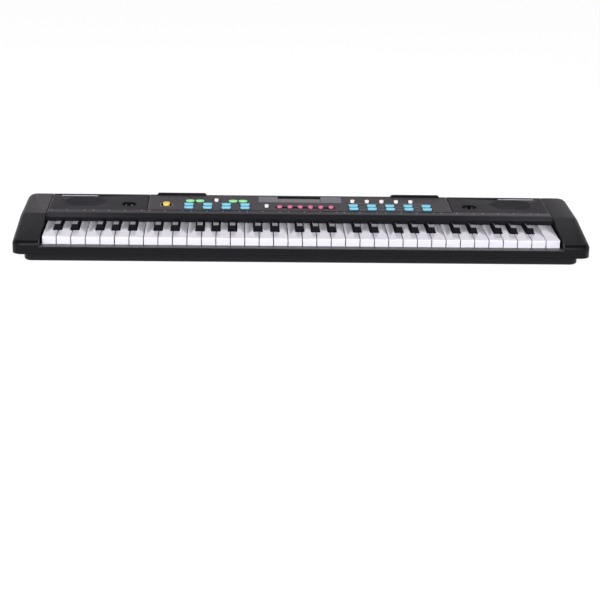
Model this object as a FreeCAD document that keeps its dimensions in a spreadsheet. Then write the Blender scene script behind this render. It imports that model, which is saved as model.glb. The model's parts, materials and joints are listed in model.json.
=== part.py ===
import FreeCAD, Part
import Sketcher
import os
import re

# A 61-key electronic keyboard, in millimetres. The long side lies along X,
# the keys point to -Y and the underside stands on Z = 0. Every piece is drawn
# with Y counted from the front face, and its Placement then moves it so that
# the middle of the outline lies on the origin.

SIZES = {
    # Shell: outer sizes of the two halves of the case
    "cheek_wide": 35.0,
    "case_depth": 199.0,
    "deck_height": 41.2,
    "shell_foot": 13.5,
    "shell_wall": 2.5,
    "corner_round": 13.0,
    "top_round": 6.5,
    "rear_round": 2.0,
    "cheek_front_height": 30.3,
    "crease_set_back": 3.6,
    "overrun": 5.0,
    "fit_gap": 0.3,
    "edge_slack": 0.01,
    # Key bay: the opening between the cheeks, its front ledge and fallboard
    "lip_height": 24.1,
    "lip_bevel": 0.8,
    "ledge_height": 21.4,
    "ledge_wall": 2.0,
    "ledge_skirt_foot": 16.4,
    "bay_gap": 2.1,
    "lip_deep": 21.2,
    "fall_foot_height": 32.2,
    "brow_height": 36.9,
    "brow_lean": 2.6,
    "brow_slope": 8.3,
    "deck_strip": 15.4,
    # Deck: seams, panel seats and music rest holders
    "seam_wide": 1.2,
    "panel_margin": 6.3,
    "groove_half": 1.0,
    "groove_deep": 1.4,
    "seat_wide": 3.5,
    "seat_thick": 2.0,
    "rest_wide": 70.0,
    "rest_inset": 10.3,
    "rest_height": 43.9,
    "rest_slope": 2.2,
    "rest_slot_wide": 2.2,
    "rest_slot_margin": 5.0,
    "rest_slot_foot": 30.5,
    "rest_wall": 1.6,
    "rest_lip": 1.1,
    # Rear wall: raised strip with the sockets
    "strip_raise": 0.6,
    "strip_foot": 17.0,
    "strip_top": 35.0,
    "socket_height": 26.0,
    "socket_spacing": 40.0,
    "socket_screw_gap": 6.4,
    "phones_radius": 1.8,
    "phones_body": 9.0,
    "phones_deep": 14.0,
    "power_radius": 2.9,
    "power_body": 11.0,
    "power_deep": 12.0,
    "socket_nose": 0.8,
    # Pan: the lower half of the case
    "pan_inset": 12.0,
    "pan_side_inset": 14.0,
    "pan_round": 10.0,
    "pan_edge_round": 3.5,
    "pan_floor": 0.5,
    "pan_wall": 2.5,
    "rim_thick": 2.5,
    "foot_ring_inset": 37.0,
    "foot_ring_margin": 19.0,
    "foot_ring_radius": 7.0,
    "foot_ring_wide": 1.4,
    "recess_spacing": 41.0,
    "recess_front": 26.5,
    "recess_rear": 52.5,
    "recess_deep": 8.0,
    "recess_round": 4.0,
    "recess_wall": 1.5,
    "trough_inset": 25.0,
    "trough_wide": 18.3,
    "trough_margin": 30.7,
    "trough_deep": 1.3,
    "trough_round": 2.0,
    "drain_radius": 2.4,
    # Screws: sixteen round the rim and four under the key frame
    "screw_radius": 1.5,
    "screw_head_radius": 2.8,
    "screw_head_thick": 1.2,
    "screw_long": 9.0,
    "screw_slack": 0.1,
    "boss_radius": 3.6,
    "corner_screw_inset": 12.0,
    "corner_screw_margin": 12.5,
    "side_screw_inset": 9.0,
    "front_screw_depth": 7.5,
    "rear_screw_margin": 6.5,
    "well_depth": 90.5,
    "well_radius": 5.1,
    "well_wall": 1.6,
    "well_gap": 0.8,
    "well_top": 11.5,
    # Battery bay and its door
    "bay_y": 61.5,
    "door_wide": 98.0,
    "door_long": 64.0,
    "door_thick": 1.8,
    "door_ledge": 2.0,
    "cell_height": 14.6,
    "cell_pitch": 14.8,
    "bay_wall": 1.5,
    "latch_wide": 27.0,
    "latch_long": 25.6,
    "latch_deep": 5.5,
    "tongue_long": 17.0,
    "tongue_reach": 20.0,
    "tongue_thick": 1.6,
    "contact_wide": 11.0,
    "contact_tall": 9.0,
    "contact_thick": 0.5,
    "contact_rise": 2.4,
    "contact_cone": 3.6,
    "contact_tip": 1.6,
    # Keys
    "key_pitch": 19.05,
    "key_gap": 1.05,
    "key_ledge_gap": 0.6,
    "key_long": 75.2,
    "key_top": 31.5,
    "key_skirt": 26.0,
    "key_nose_foot": 14.5,
    "key_wall": 1.4,
    "key_plate": 2.0,
    "key_bevel": 0.7,
    "arm_inset": 2.0,
    "arm_top": 27.0,
    "arm_foot": 22.5,
    "pivot_depth": 136.0,
    "pivot_tail": 5.0,
    "pivot_height": 25.5,
    "pivot_rib": 1.2,
    "notch_slack": 0.7,
    "column_gap": 0.7,
    "black_long": 39.2,
    "black_fall_gap": 0.8,
    "black_wide": 10.9,
    "black_top_wide": 7.3,
    "black_slope": 2.2,
    "black_height": 39.1,
    "black_flat": 12.4,
    "black_rear_height": 36.3,
    "black_foot": 25.0,
    "black_arm_top": 31.0,
    "spine_wide": 10.5,
    "spine_foot": 28.2,
    # Key frame, boards and rubber contacts
    "frame_reach": 40.0,
    "frame_tail": 6.0,
    "frame_foot": 14.0,
    "frame_thick": 2.5,
    "lug_half": 6.5,
    "stop_wide": 1.8,
    "stop_top": 19.5,
    "prop_wide": 3.0,
    "prop_long": 10.0,
    "stop_inset": 2.0,
    "board_thick": 1.6,
    "key_board_wide": 25.0,
    "key_board_inset": 5.0,
    "dome_strip_inset": 7.0,
    "dome_strip_wide": 10.0,
    "dome_strip_thick": 1.0,
    "dome_wide": 6.0,
    "dome_long": 5.0,
    "dome_tall": 1.4,
    "board_side_gap": 8.0,
    "board_front_gap": 5.7,
    "board_rear_gap": 11.7,
    "board_post_inset": 12.0,
    "board_post_margin": 5.0,
    "board_peg_inset": 3.0,
    "board_peg_margin": 4.8,
    "main_board_foot": 33.2,
    "post_radius": 3.0,
    "peg_radius": 2.4,
    # Speaker panels, their trim and the loudspeakers
    "speaker_inset": 49.0,
    "speaker_margin": 9.7,
    "grille_margin": 0.5,
    "grille_slot": 1.2,
    "grille_pitch": 3.2,
    "port_inset": 26.0,
    "port_radius": 10.0,
    "port_ring": 11.6,
    "port_ring_rise": 0.4,
    "port_wall": 1.0,
    "port_floor": 33.0,
    "port_pin": 0.9,
    "port_pin_half": 4.0,
    "port_pin_rise": 0.8,
    "bar_inset": 37.5,
    "bar_margin": 5.3,
    "bar_long": 52.0,
    "bar_wide": 4.0,
    "bar_slant": 2.0,
    "bar_sink": 1.2,
    "bar_rise": 0.4,
    "speaker_flange": 1.8,
    "speaker_rim": 1.7,
    "magnet_foot": 19.0,
    "magnet_top": 28.0,
    "cone_wall": 2.0,
    # Control panel: display and buttons
    "display_left": 57.2,
    "display_right": 59.3,
    "display_sink": 1.9,
    "window_left": 29.8,
    "window_right": 30.3,
    "window_border": 2.6,
    "lens_thick": 0.8,
    "plate_rise": 0.3,
    "button_gap": 0.3,
    "button_flange": 0.8,
    "button_flange_foot": 36.4,
    "button_flange_thick": 1.4,
    "power_button_wide": 9.2,
    "power_button_long": 13.0,
    "power_button_rise": 2.8,
    "power_ring_wide": 15.5,
    "power_ring_long": 21.0,
    "power_ring_sink": 0.7,
    "green_gap": 0.2,
    "green_wide": 12.0,
    "green_long": 5.2,
    "green_rise": 2.5,
    "pill_wide": 12.8,
    "pill_long": 5.2,
    "pill_rise": 2.5,
    "dot_radius": 2.9,
    "dot_rise": 3.4,
    "pink_radius": 3.3,
    "pink_rise": 2.6,
    "pink_slot_margin": 5.6,
    "pink_slot_wide": 3.6,
    "pink_slot_sink": 1.0,
}

# Places that follow the size of what holds them, as shares of it
SHARES = {
    "seam_share": 0.6087,
    "strip_left_share": 0.55,
    "strip_right_share": 0.41316,
    "front_screw_inner_share": 0.31579,
    "front_screw_outer_share": 0.64474,
    "rear_screw_inner_share": 0.30395,
    "rear_screw_outer_share": 0.65526,
    "well_inner_share": 0.20921,
    "well_outer_share": 0.62368,
    "drain_share": 0.69605,
    "prop_share": 0.39474,
    "side_screw_share": 0.52513,
    "magnet_share": 0.4,
    "port_share": 0.36694,
    "speaker_share": 0.56048,
}
# Places on the control panel, as shares of its half width
PANEL_COLUMNS = {
    "power_button_x": 0.87857,
    "green_first": 0.72476,
    "green_group": 0.28476,
    "left_pill_first": 0.73,
    "left_pill_pitch": 0.12286,
    "right_pill_first": 0.35429,
    "right_pill_pitch": 0.12095,
    "lone_dot_x": 0.55048,
    "select_dot_x": 0.21905,
    "right_dot_first": 0.35381,
    "right_dot_pitch": 0.09714,
    "pink_first": 0.13333,
    "pink_pitch": 0.06762,
}
# Places on the panels, as shares of their depth
PANEL_ROWS = {
    "row_green": 0.58864,
    "row_white": 0.62768,
    "row_upper": 0.36417,
    "row_lower": 0.15181,
    "row_pink": 0.22984,
    "row_select": 0.25807,
    "power_button_depth": 0.3656,
    "display_front": 0.59274,
    "display_rear": 0.97715,
}

NOTES = ("c", "d", "e", "f", "g", "a", "b")
OCTAVES = 5
FIRST_OCTAVE = 2
# Black keys: the white key on their left, and how far their middle lies from
# the gap beside that key, as a share of the key pitch
BLACK_AFTER = ("c", "d", "f", "g", "a")
BLACK_SHARES = {"c": -0.073, "d": 0.121, "f": -0.136, "g": -0.026, "a": 0.142}

# Sizes that follow from the ones above
RULES = {
    "key_count": f"{len(NOTES) * OCTAVES + 1}",
    "bay_half": "key_count * key_pitch / 2 + bay_gap",
    "case_half": "bay_half + cheek_wide",
    "ledge_depth": "lip_deep",
    "key_front": "ledge_depth + key_ledge_gap",
    "key_cap_rear": "key_front + key_long",
    "fall_foot_depth": "key_cap_rear - 2 * shell_wall",
    "brow_depth": "fall_foot_depth + brow_lean",
    "deck_front": "brow_depth + brow_slope",
    "crease_depth": "deck_front - crease_set_back",
    "panel_front": "deck_front + deck_strip",
    "panel_rear": "case_depth - panel_margin",
    "panel_deep": "panel_rear - panel_front",
    "seam_half": "seam_share * bay_half",
    "rest_outer": "seam_half - rest_inset",
    "rest_inner": "rest_outer - rest_wide",
    "rest_front": "case_depth - shell_wall - rest_slot_wide - rest_lip",
    "strip_left": "strip_left_share * case_half",
    "strip_right": "strip_right_share * case_half",
    "pan_half": "case_half - pan_side_inset",
    "pan_front": "pan_inset",
    "pan_rear": "case_depth - pan_inset",
    "foot_ring_x": "pan_half - foot_ring_inset",
    "foot_ring_front": "pan_front + foot_ring_margin",
    "foot_ring_rear": "pan_rear - foot_ring_margin",
    "trough_half": "pan_half - trough_inset",
    "trough_rear": "pan_rear - trough_margin",
    "trough_front": "trough_rear - trough_wide",
    "drain_x": "drain_share * case_half",
    "drain_depth": "case_depth / 2",
    "corner_screw_x": "case_half - corner_screw_inset",
    "corner_screw_front": "corner_screw_margin",
    "corner_screw_rear": "case_depth - corner_screw_margin",
    "side_screw_x": "case_half - side_screw_inset",
    "side_screw_depth": "side_screw_share * case_depth",
    "rear_screw_depth": "case_depth - rear_screw_margin",
    "front_screw_inner": "front_screw_inner_share * case_half",
    "front_screw_outer": "front_screw_outer_share * case_half",
    "rear_screw_inner": "rear_screw_inner_share * case_half",
    "rear_screw_outer": "rear_screw_outer_share * case_half",
    "power_place": "rear_screw_inner - boss_radius - socket_screw_gap - power_body / 2",
    "phones_place": "power_place - socket_spacing",
    "well_inner": "well_inner_share * case_half",
    "well_outer": "well_outer_share * case_half",
    "bay_x": "well_outer - well_radius - well_wall - well_gap - bay_wall - door_wide / 2",
    "recess_half": "bay_x - door_wide / 2 - latch_wide - 2 * bay_wall - recess_spacing",
    "black_rear": "fall_foot_depth - black_fall_gap",
    "black_front": "black_rear - black_long",
    "arm_rear": "pivot_depth + pivot_tail",
    "arm_front": "key_cap_rear - arm_inset",
    "spine_front": "arm_rear - spine_wide",
    "frame_half": "bay_half - fit_gap",
    "frame_front": "pivot_depth - frame_reach",
    "frame_rear": "pivot_depth + frame_tail",
    "prop_spacing": "prop_share * case_half",
    "stop_front": "frame_front + stop_inset",
    "key_board_front": "frame_front + key_board_inset",
    "key_board_rear": "key_board_front + key_board_wide",
    "dome_strip_front": "key_board_front + dome_strip_inset",
    "main_board_half": "seam_half - board_side_gap",
    "main_board_front": "panel_front + board_front_gap",
    "main_board_rear": "panel_rear - board_rear_gap",
    "board_post_x": "main_board_half - board_post_inset",
    "board_post_depth": "main_board_rear - board_post_margin",
    "board_peg_x": "main_board_half - board_peg_inset",
    "board_peg_depth": "main_board_front + board_peg_margin",
    "speaker_radius": "panel_deep / 2 - speaker_margin",
    "speaker_neck": "speaker_radius - speaker_rim",
    "magnet_radius": "magnet_share * speaker_radius",
    "grille_radius": "speaker_radius + grille_margin",
    "speaker_x": "bay_half - speaker_inset",
    "speaker_depth": "panel_front + speaker_share * panel_deep",
    "port_x": "seam_half + port_inset",
    "port_depth": "panel_front + port_share * panel_deep",
    "bar_x": "bay_half - bar_inset",
    "bar_depth": "panel_rear - bar_margin",
    "green_pair": "green_wide + 2 * button_flange + green_gap",
}
RULES.update({name: f"{share} * seam_half" for name, share in PANEL_COLUMNS.items()})
RULES.update({name: f"panel_front + {share} * panel_deep" for name, share in PANEL_ROWS.items()})

doc = FreeCAD.newDocument("ElectronicKeyboard")
sheet = doc.addObject("Spreadsheet::Sheet", "Sizes")
for row, (alias, value) in enumerate({**SIZES, **SHARES}.items(), start=1):
    sheet.set(f"A{row}", alias)
    sheet.set(f"B{row}", str(value))
    sheet.setAlias(f"B{row}", alias)
doc.recompute()

nodes = []
WORD = re.compile(r"[a-z_]*[a-z]")


def cells(rule):
    """Write out a rule until it names only cells of the sheet."""
    def written(word):
        name = word.group()
        if name in RULES:
            return f"({cells(RULES[name])})"
        return f"Sizes.{name}" if name in SIZES or name in SHARES else name
    return WORD.sub(written, rule)


def value(rule):
    """The number that a rule gives with the sheet as it is."""
    return float(sheet.evalExpression(cells(rule)))


def bind(thing, prop, rule):
    thing.setExpression(prop, cells(rule))


def place(thing, x="0", y="0", z="0"):
    """Tie an object's Placement to the sheet."""
    for axis, rule in zip("xyz", (x, y, z)):
        bind(thing, f"Placement.Base.{axis}", rule)
    return thing


def block(name, x, y, z):
    """A box between two places along each axis."""
    box = doc.addObject("Part::Box", name)
    for prop, (low, high) in zip(("Length", "Width", "Height"), (x, y, z)):
        bind(box, prop, f"({high}) - ({low})")
    return place(box, x[0], y[0], z[0])


def rod(name, x, y, z, radius):
    """An upright cylinder between two heights."""
    cylinder = doc.addObject("Part::Cylinder", name)
    bind(cylinder, "Radius", radius)
    bind(cylinder, "Height", f"({z[1]}) - ({z[0]})")
    return place(cylinder, x, y, z[0])


def rear_rod(name, x, y, z, radius):
    """A cylinder that runs towards the rear between two depths."""
    cylinder = doc.addObject("Part::Cylinder", name)
    cylinder.Placement.Rotation = FreeCAD.Rotation(FreeCAD.Vector(1, 0, 0), -90)
    bind(cylinder, "Radius", radius)
    bind(cylinder, "Height", f"({y[1]}) - ({y[0]})")
    return place(cylinder, x, y[0], z)


def taper(name, x, y, z, low_radius, high_radius):
    """An upright cone between two heights."""
    cone = doc.addObject("Part::Cone", name)
    bind(cone, "Radius1", low_radius)
    bind(cone, "Radius2", high_radius)
    bind(cone, "Height", f"({z[1]}) - ({z[0]})")
    return place(cone, x, y, z[0])


def outline(sketch, points):
    """Draw a closed outline whose corners are tied to the sheet."""
    corners = [FreeCAD.Vector(value(across), value(up), 0) for across, up in points]
    for index, corner in enumerate(corners):
        following = corners[(index + 1) % len(corners)]
        sketch.addGeometry(Part.LineSegment(corner, following))
    for index, (across, up) in enumerate(points):
        after = (index + 1) % len(corners)
        sketch.addConstraint(Sketcher.Constraint("Coincident", index, 2, after, 1))
        for kind, rule, size in (("DistanceX", across, corners[index].x),
                                 ("DistanceY", up, corners[index].y)):
            number = sketch.addConstraint(Sketcher.Constraint(kind, -1, 1, index, 1, size))
            bind(sketch, f"Constraints[{number}]", rule)


def prism(name, plane, points, low, high):
    """A body padded from an outline between two places on the plane's normal."""
    body = doc.addObject("PartDesign::Body", name)
    sketch = body.newObject("Sketcher::SketchObject", f"{name}_outline")
    feature = [part for part in body.Origin.OriginFeatures if part.Role == plane][0]
    sketch.AttachmentSupport = (feature, "")
    sketch.MapMode = "FlatFace"
    # The XZ plane faces -Y, so its pads start at the far place
    start = f"-({high})" if plane == "XZ_Plane" else low
    bind(sketch, "AttachmentOffset.Base.z", start)
    outline(sketch, points)
    pad = body.newObject("PartDesign::Pad", f"{name}_pad")
    pad.Profile = sketch
    bind(pad, "Length", f"({high}) - ({low})")
    return body


def round_edges(body, radius, chosen):
    """Round the edges of a body's last feature that a test picks."""
    doc.recompute()
    last = body.Tip
    picked = [f"Edge{number}" for number, edge in enumerate(last.Shape.Edges, start=1)
              if chosen(edge)]
    fillet = body.newObject("PartDesign::Fillet", f"{body.Name}_round{len(body.Group)}")
    fillet.Base = (last, picked)
    bind(fillet, "Radius", radius)
    body.Tip = fillet


def round_each(name, body, radius):
    """Round the edges of a body together, each by the size that radius names for it."""
    doc.recompute()
    named = [(number, radius(edge)) for number, edge in enumerate(body.Shape.Edges, start=1)]
    fillet = doc.addObject("Part::Fillet", name)
    fillet.Base = body
    fillet.Edges = [(number, value(rule), value(rule)) for number, rule in named if rule]
    return fillet


def upright(edge):
    start, end = (vertex.Point for vertex in (edge.Vertexes[0], edge.Vertexes[-1]))
    return abs(start.x - end.x) < 0.001 and abs(start.y - end.y) < 0.001


def rectangle(x, y):
    return [(x[0], y[0]), (x[1], y[0]), (x[1], y[1]), (x[0], y[1])]


def rounded_block(name, x, y, z, radius):
    """A box whose upright edges are rounded."""
    body = prism(name, "XY_Plane", rectangle(x, y), z[0], z[1])
    round_edges(body, radius, upright)
    return body


def cut(name, base, tools):
    result = doc.addObject("Part::Cut", name)
    result.Base = base
    result.Tool = tools[0] if len(tools) == 1 else group(f"{name}_tools", tools)
    result.Refine = True
    return result


def join(name, shapes):
    result = doc.addObject("Part::MultiFuse", name)
    result.Shapes = shapes
    result.Refine = True
    return result


def overlap(name, base, tool):
    result = doc.addObject("Part::Common", name)
    result.Base = base
    result.Tool = tool
    return result


def group(name, shapes):
    result = doc.addObject("Part::Compound", name)
    result.Links = shapes
    return result


def node(name, thing, x="0"):
    """Name a finished piece and move it to its place about the origin."""
    thing.Label = name
    place(thing, x, "-(case_depth + strip_raise) / 2", "0")
    nodes.append(thing)


def sides(rule):
    """The same place left and right of the middle."""
    return ((f"-({rule})", "l"), (rule, "r"))


# Top case: shell with cheeks, key bay, deck and rear wall
side_outline = [
    ("0", "shell_foot"), ("0", "cheek_front_height"), ("crease_depth", "deck_height"),
    ("case_depth", "deck_height"), ("case_depth", "shell_foot"),
]
inner_outline = [
    ("shell_wall", "shell_foot - overrun"), ("shell_wall", "cheek_front_height - shell_wall"),
    ("crease_depth", "deck_height - shell_wall"),
    ("case_depth - shell_wall", "deck_height - shell_wall"),
    ("case_depth - shell_wall", "shell_foot - overrun"),
]


def shell_radius(edge):
    """How far an edge of the shell is rounded; the rim at the back is the sharpest."""
    box = edge.BoundBox
    if upright(edge):
        return "corner_round"
    if box.ZMin < value("cheek_front_height") - value("edge_slack"):
        return None
    at_back = box.YMin > value("case_depth") - value("edge_slack")
    return "rear_round" if at_back else "top_round"


outer = round_each("case_outer", prism("case_block", "YZ_Plane", side_outline,
                                       "-case_half", "case_half"), shell_radius)
inner = prism("case_inner", "YZ_Plane", inner_outline,
              "shell_wall - case_half", "case_half - shell_wall")
round_edges(inner, "corner_round - shell_wall", upright)

bay = prism("key_bay", "YZ_Plane", [
    ("-overrun", "lip_height - lip_bevel"), ("0", "lip_height - lip_bevel"),
    ("lip_bevel", "lip_height"), ("ledge_depth", "ledge_height"),
    ("ledge_depth", "shell_foot - overrun"), ("fall_foot_depth", "shell_foot - overrun"),
    ("fall_foot_depth", "fall_foot_height"), ("brow_depth", "brow_height"),
    ("deck_front", "deck_height"), ("deck_front", "deck_height + overrun"),
    ("-overrun", "deck_height + overrun"),
], "-bay_half", "bay_half")
skin = cut("case_skin", outer, [inner, bay])

ledge = prism("front_ledge", "YZ_Plane", [
    ("lip_bevel", "lip_height"), ("ledge_depth", "ledge_height"),
    ("ledge_depth", "ledge_skirt_foot"),
    ("ledge_depth - ledge_wall", "ledge_skirt_foot"),
    ("ledge_depth - ledge_wall", "ledge_height - ledge_wall"),
    ("shell_wall / 2", "lip_height - lip_bevel - ledge_wall"),
], "-bay_half", "bay_half")
fallboard = prism("fallboard", "YZ_Plane", [
    ("fall_foot_depth", "fall_foot_height"), ("brow_depth", "brow_height"),
    ("deck_front", "deck_height"), ("deck_front + shell_wall", "deck_height"),
    ("deck_front + shell_wall", "deck_height - shell_wall"),
    ("brow_depth + shell_wall", "brow_height - lip_bevel"),
    ("fall_foot_depth + shell_wall", "fall_foot_height"),
], "-bay_half", "bay_half")
cheek_walls = [
    block(f"cheek_wall_{side}_box", span, ("shell_wall / 2", "deck_front + shell_wall"),
          ("shell_foot + rim_thick", "deck_height"))
    for side, span in (("l", ("-bay_half - shell_wall", "-bay_half")),
                       ("r", ("bay_half", "bay_half + shell_wall")))
]
cheeks = overlap("cheek_walls", outer, group("cheek_wall_boxes", cheek_walls))

# Panels lie in three openings of the deck, on a seat round each opening
panel_spans = {
    "left": ("seam_wide / 2 - bay_half", "-seam_half - seam_wide / 2"),
    "middle": ("seam_wide / 2 - seam_half", "seam_half - seam_wide / 2"),
    "right": ("seam_half + seam_wide / 2", "bay_half - seam_wide / 2"),
}
seat = block("panel_seat", ("-bay_half - seat_wide", "bay_half + seat_wide"),
             ("panel_front - seat_wide", "case_depth - shell_wall"),
             ("deck_height - shell_wall - seat_thick", "deck_height - shell_wall"))
openings = []
for name, (low, high) in panel_spans.items():
    openings.append(block(f"panel_opening_{name}", (low, high), ("panel_front", "panel_rear"),
                          ("deck_height - shell_wall", "deck_height + overrun")))
    openings.append(block(f"panel_window_{name}",
                          (f"({low}) + seat_wide", f"({high}) - seat_wide"),
                          ("panel_front + seat_wide", "panel_rear - seat_wide"),
                          ("shell_foot", "deck_height")))
grooves = []
for place_rule, start in (("seam_half", "panel_front"), ("bay_half", "crease_depth")):
    for x, side in sides(place_rule):
        grooves.append(prism(f"groove_{place_rule[:4]}_{side}", "XZ_Plane", [
            (f"({x}) - groove_half * 2", "deck_height + groove_deep"),
            (x, "deck_height - groove_deep"),
            (f"({x}) + groove_half * 2", "deck_height + groove_deep"),
        ], start, "case_depth + overrun"))
seams = group("deck_grooves", grooves)

# Music rest holders stand on the rear rim, each with a slot for the rest
holders = []
slots = []
for side in "lr":
    low, high = ("-rest_outer", "-rest_inner") if side == "l" else ("rest_inner", "rest_outer")
    holders.append(prism(f"rest_holder_{side}", "XZ_Plane", [
        (low, "deck_height - top_round"), (high, "deck_height - top_round"),
        (high, "deck_height"), (f"{high} - rest_slope", "rest_height"),
        (f"{low} + rest_slope", "rest_height"), (low, "deck_height"),
    ], "rest_front", "case_depth - lip_bevel"))
    slot_x = (f"{low} + rest_slot_margin", f"{high} - rest_slot_margin")
    slot_y = ("case_depth - shell_wall - rest_slot_wide", "case_depth - shell_wall")
    holders.append(block(f"rest_pocket_{side}",
                         (f"{slot_x[0]} - rest_wall", f"{slot_x[1]} + rest_wall"),
                         (f"{slot_y[0]} - rest_wall", "case_depth - shell_wall / 2"),
                         ("rest_slot_foot - rest_wall", "deck_height - shell_wall")))
    slots.append(block(f"rest_slot_{side}", slot_x, slot_y,
                       ("rest_slot_foot", "rest_height + overrun")))

# Screw bosses hang from the shell down to the rim of the pan
corner_places = [(x, y, f"corner_{side}_{end}") for x, side in sides("corner_screw_x")
                 for y, end in (("corner_screw_front", "f"), ("corner_screw_rear", "b"))]
side_places = [(x, "side_screw_depth", f"side_{side}") for x, side in sides("side_screw_x")]
front_places = [("0", "front_screw_depth", "front_middle")]
rear_places = [("0", "rear_screw_depth", "rear_middle")]
for rule in ("inner", "outer"):
    front_places += [(x, "front_screw_depth", f"front_{rule}_{side}")
                     for x, side in sides(f"front_screw_{rule}")]
    rear_places += [(x, "rear_screw_depth", f"rear_{rule}_{side}")
                    for x, side in sides(f"rear_screw_{rule}")]
rim_places = corner_places + side_places + front_places + rear_places
boss_foot = "shell_foot + rim_thick"
tall_bosses = overlap("tall_bosses", outer, group("tall_boss_rods", [
    rod(f"boss_{name}", x, y, (boss_foot, "deck_height"), "boss_radius")
    for x, y, name in corner_places + side_places]))
low_bosses = [rod(f"boss_{name}", x, y, (boss_foot, "ledge_height"), "boss_radius")
              for x, y, name in front_places]
rear_bosses = [rod(f"boss_{name}", x, y, (boss_foot, "deck_height - shell_wall"), "boss_radius")
               for x, y, name in rear_places]
pilots = [rod(f"pilot_{name}", x, y,
              (f"{boss_foot} - overrun",
               "shell_foot + screw_head_thick + screw_long - rim_thick + fit_gap"),
              "screw_radius + screw_slack")
          for x, y, name in rim_places]

strip = block("socket_strip", ("-strip_left", "strip_right"),
              ("case_depth - shell_wall / 2", "case_depth + strip_raise"),
              ("strip_foot", "strip_top"))
socket_holes = [
    rear_rod(f"{name}_hole", f"-{name}_place",
             ("case_depth - shell_wall - overrun", "case_depth + strip_raise + overrun"),
             "socket_height", f"{name}_radius + port_wall + fit_gap")
    for name in ("phones", "power")
]
top_solid = join("top_solid", [skin, ledge, fallboard, cheeks, seat, tall_bosses, strip]
                 + holders + low_bosses + rear_bosses)
node("top_case", cut("top_case", top_solid, openings + [seams] + slots + pilots + socket_holes))

# Bottom case: pan with rim, foot rings, wells, battery bay and recesses
pan_x = ("-pan_half", "pan_half")
pan_y = ("pan_front", "pan_rear")
pan = rounded_block("pan_outer", pan_x, pan_y, ("pan_floor", boss_foot), "pan_round")
round_edges(pan, "pan_edge_round", lambda edge: edge.BoundBox.ZMax < value("pan_floor") + 0.001)
rim_inset = "shell_wall + fit_gap"
rim = rounded_block("pan_rim", (f"{rim_inset} - case_half", f"case_half - ({rim_inset})"),
                    (rim_inset, f"case_depth - ({rim_inset})"), ("shell_foot", boss_foot),
                    f"corner_round - ({rim_inset})")
hollow = rounded_block("pan_hollow", ("pan_wall - pan_half", "pan_half - pan_wall"),
                       ("pan_front + pan_wall", "pan_rear - pan_wall"),
                       ("pan_floor + pan_wall", f"{boss_foot} + overrun"),
                       "pan_round - pan_wall")
pan_shell = cut("pan_shell", join("pan_and_rim", [pan, rim]), [hollow])

added = []
removed = []
floor_top = "pan_floor + pan_wall"
for x, side in sides("foot_ring_x"):
    for y, end in (("foot_ring_front", "f"), ("foot_ring_rear", "b")):
        added.append(cut(f"foot_ring_{side}_{end}",
                         rod(f"ring_outer_{side}_{end}", x, y, ("0", "pan_floor + lip_bevel"),
                             "foot_ring_radius"),
                         [rod(f"ring_inner_{side}_{end}", x, y, ("-overrun", "pan_floor"),
                              "foot_ring_radius - foot_ring_wide")]))
well_places = [(x, "well_depth", f"{rule}_{side}") for rule in ("inner", "outer")
               for x, side in sides(f"well_{rule}")]
for x, y, name in well_places:
    added.append(rod(f"well_boss_{name}", x, y, (floor_top, "frame_foot"), "well_radius + well_wall"))
    removed.append(rod(f"well_{name}", x, y, ("-overrun", "well_top"), "well_radius"))
    removed.append(rod(f"well_hole_{name}", x, y, ("-overrun", "frame_foot + overrun"),
                       "screw_radius + fit_gap"))
removed += [rod(f"drain_{side}", x, "drain_depth", ("-overrun", f"{floor_top} + overrun"),
                "drain_radius") for x, side in sides("drain_x")]
added.append(block("recess_box", ("-recess_half - recess_wall", "recess_half + recess_wall"),
                   ("recess_front - recess_wall", "recess_rear + recess_wall"),
                   (floor_top, "pan_floor + recess_deep + recess_wall")))
removed.append(rounded_block("recess", ("-recess_half", "recess_half"),
                             ("recess_front", "recess_rear"),
                             ("-overrun", "pan_floor + recess_deep"), "recess_round"))
removed.append(rounded_block("trough", ("-trough_half", "trough_half"),
                             ("trough_front", "trough_rear"),
                             ("-overrun", "pan_floor + trough_deep"), "trough_round"))
prop_y = ("frame_rear - prop_long", "frame_rear")
for number in (-2, -1, 0, 1, 2):
    middle = f"{number} * prop_spacing"
    added.append(block(f"frame_prop_{number + 2}",
                       (f"{middle} - prop_wide / 2", f"{middle} + prop_wide / 2"), prop_y,
                       (floor_top, "frame_foot")))
added += [rod(f"board_post_{side}", x, "board_post_depth", (floor_top, "main_board_foot"),
              "post_radius") for x, side in sides("board_post_x")]
for x, y, name in rim_places:
    removed.append(rod(f"screw_seat_{name}", x, y,
                       ("shell_foot - overrun", "shell_foot + screw_head_thick"),
                       "screw_head_radius + fit_gap"))
    removed.append(rod(f"screw_hole_{name}", x, y, ("shell_foot - overrun", f"{boss_foot} + overrun"),
                       "screw_radius + screw_slack"))

# Battery bay: a box over the floor, open below, with a ledge for the door
door_x = ("-bay_x - door_wide / 2", "door_wide / 2 - bay_x")
door_y = ("bay_y - door_long / 2", "bay_y + door_long / 2")
door_top = "pan_floor + door_thick"
bay_top = f"{door_top} + cell_height"
added.append(block("battery_box", (f"{door_x[0]} - bay_wall", f"{door_x[1]} + bay_wall"),
                   (f"{door_y[0]} - bay_wall", f"{door_y[1]} + bay_wall"),
                   (floor_top, f"{bay_top} + bay_wall")))
cell_x = (f"{door_x[0]} + door_ledge", f"{door_x[1]} - door_ledge")
cell_y = (f"{door_y[0]} + door_ledge", f"{door_y[1]} - door_ledge")
removed.append(block("battery_room", cell_x, cell_y, ("-overrun", bay_top)))
removed.append(block("door_opening", (f"{door_x[0]} - fit_gap", f"{door_x[1]} + fit_gap"),
                     (f"{door_y[0]} - fit_gap", f"{door_y[1]} + fit_gap"),
                     ("-overrun", door_top)))
latch_x = (f"{door_x[1]} + bay_wall", f"{door_x[1]} + bay_wall + latch_wide")
latch_y = ("bay_y - latch_long / 2", "bay_y + latch_long / 2")
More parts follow.
